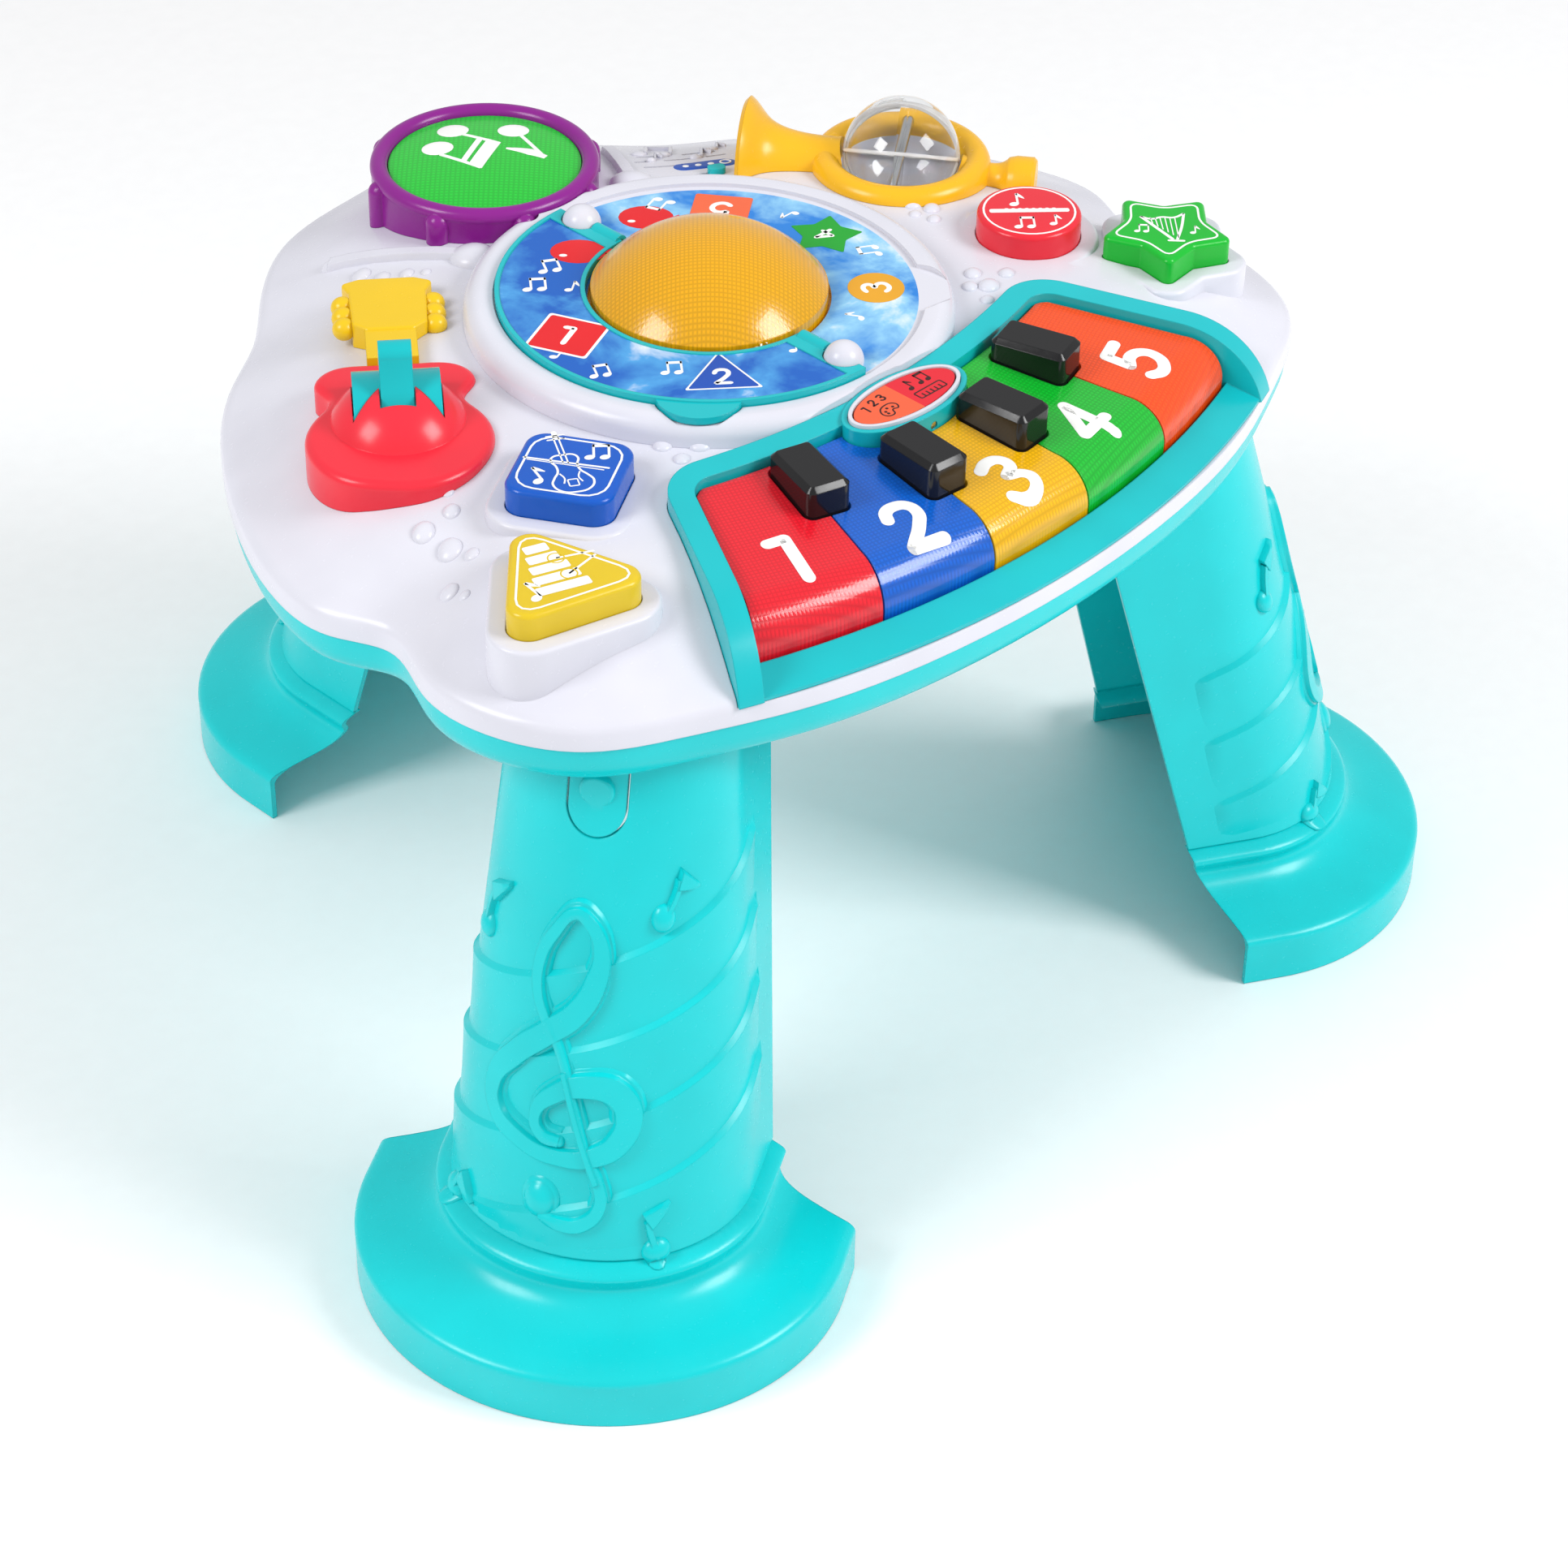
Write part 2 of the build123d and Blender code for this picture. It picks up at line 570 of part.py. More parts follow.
def make_book_bezel():
    """The thick white ring round the book, with the floor that the page lies on."""
    outer, flat, inner, hole = BEZEL_RADIUS, BEZEL_RADIUS - 8, BOOK_RADIUS + 0.8, DOME_RADIUS + 1.5
    low, shoulder, top, floor = DECK_Z, DECK_Z + 4.5, BEZEL_Z + 0.6, BOOK_FLOOR_Z
    under = floor - BOOK_FLOOR
    corners = [
        (flat, top),
        (inner, BEZEL_Z),
        (inner, floor),
        (hole, floor),
        (hole, under),
        (flat, under),
        (outer - WALL, shoulder),
        (outer - WALL, low),
        (outer, low),
        (outer, shoulder),
    ]
    profile = [Line(start, end) for start, end in zip(corners, corners[1:])]
    profile.append(ThreePointArc((outer, shoulder), (outer - 2.4, low + 10.3), (flat, top)))
    bezel = turned(profile)
    for turn in (PAGE_TAB_ANGLE, 180 - PAGE_TAB_ANGLE):
        bezel -= prism(page_tab(0.8, turn), BOOK_FLOOR_Z, BEZEL_Z + 5)
    bezel -= hinge_rod(HINGE_BARREL + 0.5, HINGE_START - 0.6, HINGE_END + 0.3)
    bezel = at_book(bezel) - at_drum(prism(drum_plan(1.2), 300, 400))
    bezel -= prism(key_field(RAIL_WIDTH + KEY_GAP + FIT_GAP), 300, 400)
    return bezel - prism(oval(MODE_RIM + MODE_BOSS + FIT_GAP), 300, 400)


def make_page():
    """The hinged half-disc page with its tab, end bars and barrels."""
    ring = Circle(BOOK_RADIUS) - Circle(DOME_RADIUS + 2.5)
    half = ring & Pos(-150.3, 0) * Rectangle(300, 300)
    plan = half + (page_tab(0, PAGE_TAB_ANGLE) - Circle(BOOK_RADIUS - 2))
    page = prism(half, PAGE_BOTTOM_Z, PAGE_BOTTOM_Z + PAGE_THICK)
    page += prism(plan, PAGE_BOTTOM_Z + 0.6, PAGE_BOTTOM_Z + PAGE_THICK - 0.6)
    print_ring = Circle(BOOK_RADIUS - PAGE_BORDER) - Circle(DOME_RADIUS + 2.5 + PAGE_BORDER)
    print_area = print_ring & Pos(-150 - 10, 0) * Rectangle(300, 300)
    page -= prism(print_area, PAGE_BOTTOM_Z + PAGE_THICK - PAGE_RECESS, 400)
    page -= prism(print_area, 300, PAGE_BOTTOM_Z + PAGE_RECESS)
    page -= knob_balls(KNOB_RADIUS + 0.6)
    page += hinge_rod(HINGE_BARREL, HINGE_START, HINGE_END)
    return at_book(page - hinge_rod(PIN_RADIUS + PIN_GAP, 50, 100))


def make_hinge_knobs():
    """The two white half-ball caps that hold the hinge pins."""
    balls = knob_balls(KNOB_RADIUS) & Pos(0, 0, BOOK_FLOOR_Z + 50) * Box(60, 250, 100)
    return group([at_book(balls - hinge_rod(PIN_RADIUS + PIN_GAP, 50, KNOB_AT + 4))])


def make_hinge_pins():
    """Two steel pins through the page's barrels into the knobs."""
    return group([at_book(hinge_rod(PIN_RADIUS, HINGE_START + 0.5, KNOB_AT + 3.5))])


def make_light_dome():
    """The translucent cap over the lamps, with its flange under the book's floor."""
    ball = (DOME_RADIUS**2 + DOME_HEIGHT**2) / (2 * DOME_HEIGHT)
    centre_z = DOME_BASE_Z + DOME_HEIGHT - ball
    shell = Pos(0, 0, centre_z) * (Sphere(ball) - Sphere(ball - DOME_WALL))
    shell &= prism(Circle(DOME_RADIUS), DOME_BASE_Z - 0.01, 420)
    under = BOOK_FLOOR_Z - BOOK_FLOOR - FIT_GAP
    wall = tube(DOME_RADIUS, DOME_RADIUS - DOME_WALL - 0.4, under - 2.0, DOME_BASE_Z + 0.4)
    flange = tube(DOME_RADIUS + 5, DOME_RADIUS - DOME_WALL - 0.4, under - 2.0, under)
    return at_book(shell + wall + flange)


# ---------------------------------------------------------------- drum
def at_drum(shape):
    """Moves a shape from the drum's centre to the table."""
    return Pos(*DRUM_AT, 0) * shape


def drum_plan(grow):
    """The hoop and its lugs in plan, moved out by grow."""
    plan = Circle(DRUM_RADIUS + grow)
    for index in range(DRUM_LUGS):
        place = polar(DRUM_RADIUS - 1.5, (index + 0.5) * 360 / DRUM_LUGS)
        plan += Pos(*place) * Circle(DRUM_LUG_RADIUS + grow)
    return plan


def make_drum_shell():
    """The purple hoop: wall, rolled bead, domed lugs, and the ledge under the head."""
    low, high = PARTING_Z + 8, DRUM_Z
    wall, seat = DRUM_RADIUS - DRUM_WALL, DRUM_Z - 13.5
    profile = [
        Line((wall, low), (DRUM_RADIUS, low)),
        Line((DRUM_RADIUS, low), (DRUM_RADIUS, high - 2 * DRUM_BEAD)),
        ThreePointArc(
            (DRUM_RADIUS, high - 2 * DRUM_BEAD),
            (DRUM_RADIUS - DRUM_BEAD, high),
            (DRUM_HEAD_RADIUS + 0.5, high - DRUM_BEAD),
        ),
        Line((DRUM_HEAD_RADIUS + 0.5, high - DRUM_BEAD), (DRUM_HEAD_RADIUS + 0.5, seat)),
        Line((DRUM_HEAD_RADIUS + 0.5, seat), (DRUM_HEAD_RADIUS - 5, seat)),
        Line((DRUM_HEAD_RADIUS - 5, seat), (DRUM_HEAD_RADIUS - 5, seat - 2.5)),
        Line((DRUM_HEAD_RADIUS - 5, seat - 2.5), (wall, seat - 2.5)),
        Line((wall, seat - 2.5), (wall, low)),
    ]
    shell = turned(profile)
    for index in range(DRUM_LUGS):
        lug = prism(Circle(DRUM_LUG_RADIUS), low, high - 9) + Pos(0, 0, high - 9) * Sphere(DRUM_LUG_RADIUS)
        place = polar(DRUM_RADIUS - 1.5, (index + 0.5) * 360 / DRUM_LUGS)
        shell += Pos(*place, 0) * lug - prism(Circle(wall + 1), 300, 400)
    return at_drum(shell) - DECK_SEAT


def make_drum_head():
    """The green drum head that clicks down: crowned disc, skirt and stem."""
    crown_ball = (DRUM_HEAD_RADIUS**2 + HEAD_CROWN**2) / (2 * HEAD_CROWN)
    top = DRUM_Z + HEAD_CROWN - 4.0
    shell = Pos(0, 0, top - crown_ball) * Sphere(crown_ball)
    shell -= Pos(0, 0, top - crown_ball) * Sphere(crown_ball - 2.4)
    shell &= prism(Circle(DRUM_HEAD_RADIUS), DRUM_Z - 12, 400)
    skirt = tube(DRUM_HEAD_RADIUS, DRUM_HEAD_RADIUS - 2.4, DRUM_Z - 13.5 + DRUM_TRAVEL + 0.4, DRUM_Z - 5.5)
    stem = prism(Circle(4.0), SWITCH_TOP_Z + DRUM_TRAVEL + FIT_GAP, DRUM_Z - 2.6)
    return at_drum(shell + skirt + stem)


# ---------------------------------------------------------------- guitar
def at_guitar(shape):
    """Moves a shape drawn in the guitar's own u, v directions to the table."""
    return Pos(*GUITAR_AT, 0) * Rot(0, 0, GUITAR_ANGLE) * shape


def mirrored_spline(points):
    """A closed smooth plan from half its points, mirrored about the guitar's centre line."""
    whole = [(u, -v) for u, v in points] + [(u, v) for u, v in reversed(points) if v]
    edge = Edge.make_spline([Vector(u, v, 0) for u, v in whole], periodic=True)
    return Face(Wire([edge]))


def make_guitar_body():
    """The red body with its rounded edge, and the dome that the lever turns in."""
    slab = prism(mirrored_spline(GUITAR_OUTLINE), PARTING_Z + 14, GUITAR_Z)
    slab = fillet(slab.edges().group_by(Axis.Z)[-1], GUITAR_EDGE)
    ball = (GUITAR_DOME_RADIUS**2 + GUITAR_DOME_HEIGHT**2) / (2 * GUITAR_DOME_HEIGHT)
    dome = Pos(GUITAR_DOME_AT, 0, GUITAR_Z + GUITAR_DOME_HEIGHT - ball) * Sphere(ball)
    dome &= block((-60, 80), (-60, 60), (GUITAR_Z - 3, 420))
    body = slab + dome
    slot = LEVER_WIDTH / 2 + 0.5
    body -= Pos(LEVER_AT, 0, LEVER_AXIS_Z) * Rot(90, 0, 0) * Cylinder(LEVER_RADIUS + 0.7, 2 * slot)
    body -= Pos(LEVER_AT, 0, LEVER_AXIS_Z) * Rot(90, 0, 0) * Cylinder(2.5 + PIN_GAP, 2 * slot + 16)
    swing = LEVER_TRAVEL + 1
    swept = [lever_turned(point, side * swing) for side in (1, -1) for point in fin_corners(side)]
    fin_slot = offset(make_face(outline(swept)), 0.6, kind=Kind.ARC)
    half = LEVER_FIN_WIDTH / 2 + 0.6
    body -= Pos(LEVER_AT, half, LEVER_AXIS_Z) * extrude(Plane.XZ * fin_slot, 2 * half)
    return at_guitar(body) - DECK_SEAT


def fin_corners(side):
    """Lower and upper corner of the lever's fin on one side, in the side view about the axle."""
    corners = [(-side * 21.5, 4.0), (-side * 6.5, LEVER_FIN_Z - LEVER_AXIS_Z - 6.0)]
    return corners if side > 0 else corners[::-1]


def lever_turned(point, degrees):
    """A side-view point turned about the axle."""
    angle = math.radians(degrees)
    x, z = point
    return x * math.cos(angle) - z * math.sin(angle), x * math.sin(angle) + z * math.cos(angle)


def make_strum_lever():
    """The teal rocker: a drum segment with a tall fin."""
    width = LEVER_WIDTH
    drum = Rot(90, 0, 0) * Cylinder(LEVER_RADIUS, width)
    drum &= block((-40, 40), (-40, 40), (-7, 40))
    hub = Rot(90, 0, 0) * Cylinder(7.0, width)
    tip = LEVER_FIN_Z - LEVER_AXIS_Z
    corners = fin_corners(1) + fin_corners(-1)
    side = make_face(
        [
            Line(corners[0], corners[1]),
            ThreePointArc(corners[1], (0, tip), corners[2]),
            Line(corners[2], corners[3]),
            Line(corners[3], corners[0]),
        ]
    )
    fin = Pos(0, LEVER_FIN_WIDTH / 2, 0) * extrude(Plane.XZ * side, LEVER_FIN_WIDTH)
    lever = drum + hub + fin - Rot(90, 0, 0) * Cylinder(2.5 + PIN_GAP, 2 * width)
    return at_guitar(Pos(LEVER_AT, 0, LEVER_AXIS_Z) * lever)


def make_strum_axle():
    """The steel axle of the strum lever, held in the body at both ends."""
    return at_guitar(Pos(LEVER_AT, 0, LEVER_AXIS_Z) * Rot(90, 0, 0) * Cylinder(2.5, LEVER_WIDTH + 12))


def make_headstock():
    """The yellow neck stub and headstock with three ball pegs on each side."""
    start, end, half = HEADSTOCK_START, HEADSTOCK_END, HEADSTOCK_WIDTH / 2
    low = PARTING_Z + 14
    waist = half * 0.84
    side = [(start, half * 0.5), (start + 6, half * 0.8), (end - 12, waist), (end - 4, half)]
    side.append((end, half * 0.6))
    head = make_face(outline(side + [(u, -v) for u, v in reversed(side)]))
    head = prism(fillet(head.vertices(), 2.5), low, HEADSTOCK_Z)
    head = fillet(head.edges().group_by(Axis.Z)[-1], 1.5)
    neck = block((NECK_START, start + 8), (-NECK_WIDTH / 2, NECK_WIDTH / 2), (low, HEADSTOCK_Z - 1.0))
    pegs = []
    for index in range(3):
        for turn in (-1, 1):
            place = (start + 10 + index * PEG_SPACING, turn * (waist + 3.0), HEADSTOCK_Z - PEG_RADIUS)
            pegs.append(Pos(*place) * Rot(0, 0, turn * 90) * Sphere(PEG_RADIUS))
    return at_guitar(head + [neck, *pegs]) - DECK_SEAT


# ---------------------------------------------------------------- horn and roller ball
def at_horn(shape):
    """Moves a shape drawn along +X, from the bell to the mouthpiece, to the table."""
    return Pos(*HORN_AT, 0) * Rot(0, 0, HORN_ANGLE) * shape


def make_horn():
    """The yellow horn: flared bell, tube, ring round the ball, and mouthpiece."""
    ends = [
        (-HORN_BELL_AT, 0), (-HORN_BELL_AT, HORN_BELL_RADIUS - 2), (-HORN_BELL_AT + 2, HORN_BELL_RADIUS),
    ]
    flare = [
        (-HORN_BELL_AT + 5, HORN_BELL_RADIUS - 2.5), (-HORN_BELL_AT + 12, HORN_TUBE_RADIUS + 9),
        (-HORN_BELL_AT + 24, HORN_TUBE_RADIUS + 4), (-20, HORN_TUBE_RADIUS + 3), (26, HORN_TUBE_RADIUS),
        (44, 8.0), (50, 8.5),
    ]
    mouth = [(54, MOUTHPIECE_RADIUS - 1), (58, MOUTHPIECE_RADIUS), (MOUTHPIECE_AT - 1.5, MOUTHPIECE_RADIUS)]
    mouth += [(MOUTHPIECE_AT, MOUTHPIECE_RADIUS - 1.5), (MOUTHPIECE_AT, 0)]
    curve = Spline(ends[-1], *flare, mouth[0])
    profile = make_face([Polyline(*ends), curve, Polyline(*mouth), Line(mouth[-1], ends[0])])
    body = Pos(0, 0, HORN_AXIS_Z) * revolve(profile, Axis.X)
    ring = Pos(0, 0, HORN_RING_Z) * Torus(HORN_RING, HORN_RING_BAND)
    ring += tube(HORN_RING + HORN_RING_BAND, HORN_RING - HORN_RING_BAND, PARTING_Z + 20, HORN_RING_Z)
    horn = body + ring - prism(Circle(BALL_RADIUS + 1.2), 300, 400)
    horn -= Pos(0, 0, BALL_Z) * Rot(90, 0, 0) * Cylinder(PIN_RADIUS + PIN_GAP, 2 * HORN_RING + 6)
    return at_horn(horn) - DECK_SEAT


def make_roller_ball():
    """The clear hollow ball with an inner fin and the bore of its axle."""
    shell = Sphere(BALL_RADIUS) - Sphere(BALL_RADIUS - BALL_WALL)
    fin = Rot(0, 90, 0) * Cylinder(BALL_RADIUS - 0.5, 1.6)
    sleeve = Rot(90, 0, 0) * Cylinder(4.0, 2 * BALL_RADIUS - 2)
    bore = Rot(90, 0, 0) * Cylinder(PIN_RADIUS + PIN_GAP, 100)
    return at_horn(Pos(0, 0, BALL_Z) * (shell + fin + sleeve - bore))


def make_ball_axle():
    """The steel axle that the ball spins on."""
    return at_horn(Pos(0, 0, BALL_Z) * Rot(90, 0, 0) * Cylinder(PIN_RADIUS, 2 * HORN_RING + 4))


# ---------------------------------------------------------------- instrument buttons
def button_plan(name, grow):
    """A button's outline at the table, moved out by grow."""
    if name == "blue":
        shape = RectangleRounded(SQUARE_SIDE, SQUARE_SIDE, SQUARE_CORNER)
    elif name == "yellow":
        corners = [polar(TRIANGLE_REACH, turn) for turn in (0, 120, 240)]
        shape = offset(make_face(outline(corners)), TRIANGLE_CORNER, kind=Kind.ARC)
    elif name == "red":
        shape = Circle(DISC_RADIUS)
    else:
        points = [polar(STAR_TIP if index % 2 == 0 else STAR_WAIST, index * 36) for index in range(10)]
        star = make_face(outline(points))
        shape = fillet(star.vertices(), STAR_ROUND)
    place, turn, _ = BUTTONS[name]
    plan = Pos(*place) * Rot(0, 0, turn) * shape
    return offset(plan, grow, kind=Kind.ARC) if grow else plan


def make_button(name):
    """A button cap with its retaining flange and the stem that works the switch."""
    pad_z = BUTTONS[name][2]
    top = pad_z + BUTTON_RISE
    flange_z = pad_z - WALL - FIT_GAP
    cap = prism(button_plan(name, 0), flange_z - 2.0, top)
    cap = fillet(cap.edges().group_by(Axis.Z)[-1], BUTTON_ROUND)
    cap += prism(button_plan(name, BUTTON_FLANGE), flange_z - 2.0, flange_z)
    cap -= prism(button_plan(name, -2.4), 300, top - 2.6)
    stem = prism(Circle(4.0), SWITCH_TOP_Z + BUTTON_TRAVEL + FIT_GAP, top - 1.0)
    return cap + Pos(*BUTTONS[name][0], 0) * stem


def pads(margin, low, lower_top):
    """The raised pads under the four buttons, as solid prisms."""
    prisms = []
    for name, (_, _, pad_z) in BUTTONS.items():
        prisms.append(prism(button_plan(name, margin), low, pad_z - lower_top))
    return prisms


# ---------------------------------------------------------------- inside: switches, board, power
def make_switch_boards():
    """A small round board on each switch post."""
    return group([Pos(*place, 0) * prism(Circle(9), SWITCH_BOARD_Z, SWITCH_BOARD_Z + BOARD_THICK)
                  for place in SWITCH_PLACES])


def make_tact_switches():
    """A click switch on each small board."""
    low = SWITCH_BOARD_Z + BOARD_THICK
    body = Pos(0, 0, low + 1.5) * Box(6, 6, 3)
    plunger = prism(Circle(1.7), low + 3, low + SWITCH_HEIGHT)
    return group([Pos(*place, 0) * (body + plunger) for place in SWITCH_PLACES])


def make_key_switches():
    """A rubber switch pill on the tray under each key."""
    low = TRAY_Z + TRAY_WALL
    pill = prism(Circle(5), low, low + 2.5) + prism(Circle(3), low + 2.5, low + 4.5)
    return group([on_fan(turn, Pos(fan_reach(turn, KEY_NOSE - 24), 0, 0) * pill) for turn in key_turns()])


def make_circuit_board():
    """The main board on its four posts."""
    board = Pos(*BOARD_AT) * RectangleRounded(*BOARD_SIZE, 3)
    return prism(board, BOARD_Z, BOARD_Z + BOARD_THICK)


def make_leds():
    """Lamps on the main board, under the light dome."""
    low = BOARD_Z + BOARD_THICK
    lamp = prism(Circle(2.5), low, low + 5) + Pos(0, 0, low + 5) * Sphere(2.5)
    return group([Pos(BOARD_AT[0] + x, BOARD_AT[1], 0) * lamp for x in (-24, 0, 24)])


def make_speaker():
    """The loudspeaker under the grille: basket rim, cone and magnet."""
    top = SPEAKER_RIM_Z
    profile = outline(
        [(0, top - 8), (10, top - 8), (SPEAKER_RADIUS - 3, top - 1.2), (SPEAKER_RADIUS, top - 1.2)]
        + [(SPEAKER_RADIUS, top - 3.2), (SPEAKER_RADIUS - 3, top - 3.2)]
        + [(13, top - 11), (13, top - 19), (0, top - 19)]
    )
    rim = tube(SPEAKER_RADIUS, SPEAKER_RADIUS - 3, top - 2, top)
    return Pos(*SPEAKER_AT, 0) * (turned(profile) + rim)


def make_battery_box():
    """The battery compartment: walls and roof, open towards the door."""
    low, high = FLOOR_TOP_Z, BATTERY_Z + BATTERY_RADIUS + 2.4
    box = prism(Pos(*BATTERY_AT) * Rectangle(BOX_LENGTH + 4, BOX_WIDTH + 4), low, high)
    box += prism(Pos(*BATTERY_AT) * Rectangle(DOOR_SIZE[0] + 10, DOOR_SIZE[1] + 10), low, low + 2)
    box += Pos(*DOOR_SCREW_AT, 0) * prism(Circle(4.0), low, low + 9)
    box -= prism(Pos(*BATTERY_AT) * Rectangle(BOX_LENGTH, BOX_WIDTH), low - 1, high - 2)
    return box - Pos(*DOOR_SCREW_AT, 0) * prism(Circle(SCREW_RADIUS + PIN_GAP), low - 1, low + 8)


def make_batteries():
    """Three round cells side by side."""
    cells = []
    for index in range(BATTERY_COUNT):
        y = BATTERY_AT[1] + (index - (BATTERY_COUNT - 1) / 2) * BATTERY_PITCH
        cell = rod(BATTERY_RADIUS, BATTERY_LENGTH - 1.0, (BATTERY_AT[0] - 0.5, y, BATTERY_Z), 0)
        cell += rod(2.75, 1.0, (BATTERY_AT[0] + (BATTERY_LENGTH - 1.0) / 2, y, BATTERY_Z), 0)
        cells.append(cell)
    return group(cells)


def make_battery_contacts():
    """Sprung steel strips at both ends of the battery box."""
    strips = []
    for side in (-1, 1):
        x = BATTERY_AT[0] + side * (BOX_LENGTH / 2 - 0.4)
        strips.append(Pos(x, BATTERY_AT[1], BATTERY_Z) * Box(0.8, BOX_WIDTH - 2, 10))
    return group(strips)


def make_battery_door():
    """The door flush in the base's floor."""
    plan = Pos(*BATTERY_AT) * RectangleRounded(*DOOR_SIZE, 4)
    door = prism(plan, BASE_FLOOR_Z, FLOOR_TOP_Z)
    return door - Pos(*DOOR_SCREW_AT, 0) * prism(Circle(SCREW_RADIUS + PIN_GAP), 280, 300)


def screw(length):
    """A round-headed screw pointing up, with the underside of its head at z = 0."""
    return prism(Circle(SCREW_RADIUS), 0, length) + prism(Circle(3.0), -1.4, 0)


def make_door_screw():
    """The screw that keeps the battery door shut."""
    return Pos(*DOOR_SCREW_AT, BASE_FLOOR_Z) * screw(9)


def make_case_screws():
    """Six screws that hold the cover to the base."""
    return group([Pos(x, y, BASE_FLOOR_Z) * screw(SKIRT_DEPTH + SCREW_GRIP - 1) for x, y in CASE_SCREWS])


def make_slider():
    """The power slider: knob, neck and foot."""
    knob = prism(RectangleRounded(*SLIDER_KNOB, 2.4), SLIDER_DECK_Z + FIT_GAP, SLIDER_DECK_Z + 3.4)
    foot_top = SLIDER_DECK_Z - WALL - 0.7
    neck = block((-2, 2), (-1.5, 1.5), (foot_top - 1, SLIDER_DECK_Z + 1))
    foot = block((-5, 5), (-3, 3), (foot_top - 2, foot_top))
    return Pos(*SLIDER_AT, 0) * Rot(0, 0, SPEAKER_ANGLE) * (knob + neck + foot)


# ---------------------------------------------------------------- cover and base
def grille_slots():
    """Thin sound slots in three broken rows over the loudspeaker."""
    slots = []
    rows = [(-1, (-13, 13)), (0, (-22, 0, 22)), (1, (-12, 12))]
    for row, places in rows:
        for place in places:
            slots.append(Pos(place, row * SLOT_PITCH, 340) * Box(17, SLOT_WIDTH, 60))
    turned_slots = [Pos(*SPEAKER_AT, 0) * Rot(0, 0, SPEAKER_ANGLE) * slot for slot in slots]
    return [slot & Pos(*SPEAKER_AT, 0) * prism(Circle(SPEAKER_RADIUS - 1), 300, 400) for slot in turned_slots]


def make_deck_cover():
    """The white top moulding: lobed mound with raised button pads and all the openings."""
    outer = DECK_FORM + [
        fillet(pad.edges().group_by(Axis.Z)[-1], PAD_ROUND) for pad in pads(PAD_MARGIN, PARTING_Z + 12, 0)
    ]
    inner = DECK_INSIDE + pads(PAD_MARGIN - WALL, 300, WALL)
    lever = LEVER_RADIUS + 0.9
    lever_side = LEVER_WIDTH / 2 + 7
    slider = Pos(-SLIDER_TRAVEL / 2, 0) * Rectangle(SLIDER_TRAVEL + 5, 3.6)
    slider_foot = block((-SLIDER_TRAVEL - 6, 6), (-4, 4), (330, SLIDER_DECK_Z - WALL - 0.4))
    openings = [prism(button_plan(name, 0.4), 300, 400) for name in BUTTONS]
    openings += grille_slots()
    openings += [
        prism(key_field(RAIL_WIDTH + KEY_GAP + FIT_GAP), FRONT_WALL_Z, 400),
        prism(oval(MODE_RIM + MODE_BOSS + FIT_GAP), FRONT_WALL_Z, 400),
        at_book(prism(Circle(DOME_RADIUS + 6), 300, 400)),
        at_drum(prism(Circle(DRUM_HEAD_RADIUS - 6), 300, 400)),
        at_horn(prism(Circle(BALL_RADIUS + 1.2), 300, 400)),
        at_guitar(block((LEVER_AT - lever, LEVER_AT + lever), (-lever_side, lever_side), (300, 400))),
        Pos(*SLIDER_AT, 0) * Rot(0, 0, SPEAKER_ANGLE) * (prism(slider, 300, 400) + slider_foot),
    ]
    collar = tube(SPEAKER_RADIUS + 1, SPEAKER_RADIUS - 3, SPEAKER_RIM_Z + FIT_GAP, 400)
    bosses = [Pos(*SPEAKER_AT, 0) * collar]
    for x, y in CASE_SCREWS:
        bosses.append(Pos(x, y, 0) * prism(Circle(BOSS_RADIUS), PARTING_Z + FIT_GAP, 400))
        openings.append(Pos(x, y, 0) * prism(Circle(SCREW_RADIUS + PIN_GAP), 300, PARTING_Z + SCREW_GRIP))
    return outer - (inner - bosses) - openings


def leg_stub():
    """The hollow socket block inside one leg's top, drawn for a leg at angle 0."""
    gap = LEG_WALL + FIT_GAP
    low, high = BASE_FLOOR_Z - STUB_DEPTH, BASE_FLOOR_Z + 1
    outer = loft([leg_section(low, -gap, 8), leg_section(high, -gap, 8)])
    inner = loft([leg_section(low, -gap - STUB_WALL, 12), leg_section(high, -gap - STUB_WALL, 12)])
    stub = outer - Pos(0, 0, -1) * inner
    front = leg_sizes(low)[2]
    half = LATCH_WIDTH / 2 + 1
    return stub - block((front - 16, front + 20), (-half, half), (low - 5, BASE_FLOOR_Z - 1))


def make_base_shell():
    """The teal underside: skirt, floor, leg sockets, posts and the battery opening."""
    added = [Rot(0, 0, angle) * leg_stub() for angle in LEG_ANGLES.values()]
    low = FLOOR_TOP_Z - 0.5
    added += [Pos(*place, 0) * prism(Circle(5), low, SWITCH_BOARD_Z) for place in SWITCH_PLACES]
    added += [Pos(*place, 0) * prism(Circle(3.5), low, BOARD_Z) for place in BOARD_POSTS]
    added += [Pos(x, y, 0) * prism(Circle(BOSS_RADIUS), low, PARTING_Z) for x, y in CASE_SCREWS]
    grow = 2 * FIT_GAP
    plan = Pos(*BATTERY_AT) * RectangleRounded(DOOR_SIZE[0] + grow, DOOR_SIZE[1] + grow, 4 + FIT_GAP)
    holes = [Pos(x, y, 0) * prism(Circle(SCREW_RADIUS + PIN_GAP), 280, 330) for x, y in CASE_SCREWS]
    holes.append(prism(plan, 280, FLOOR_TOP_Z + 0.01))
    return (BASE_FORM - BASE_INSIDE) + added - holes


# ---------------------------------------------------------------- legs
def leg_sizes(z):
    """Open edge, widest line, front and half width of the straight leg at a height."""
    share = (z - LEG_LOW_Z) / (LEG_TOP_Z - LEG_LOW_Z)
    return [low + (top - low) * share for low, top in zip(LEG_LOW, LEG_TOP)]


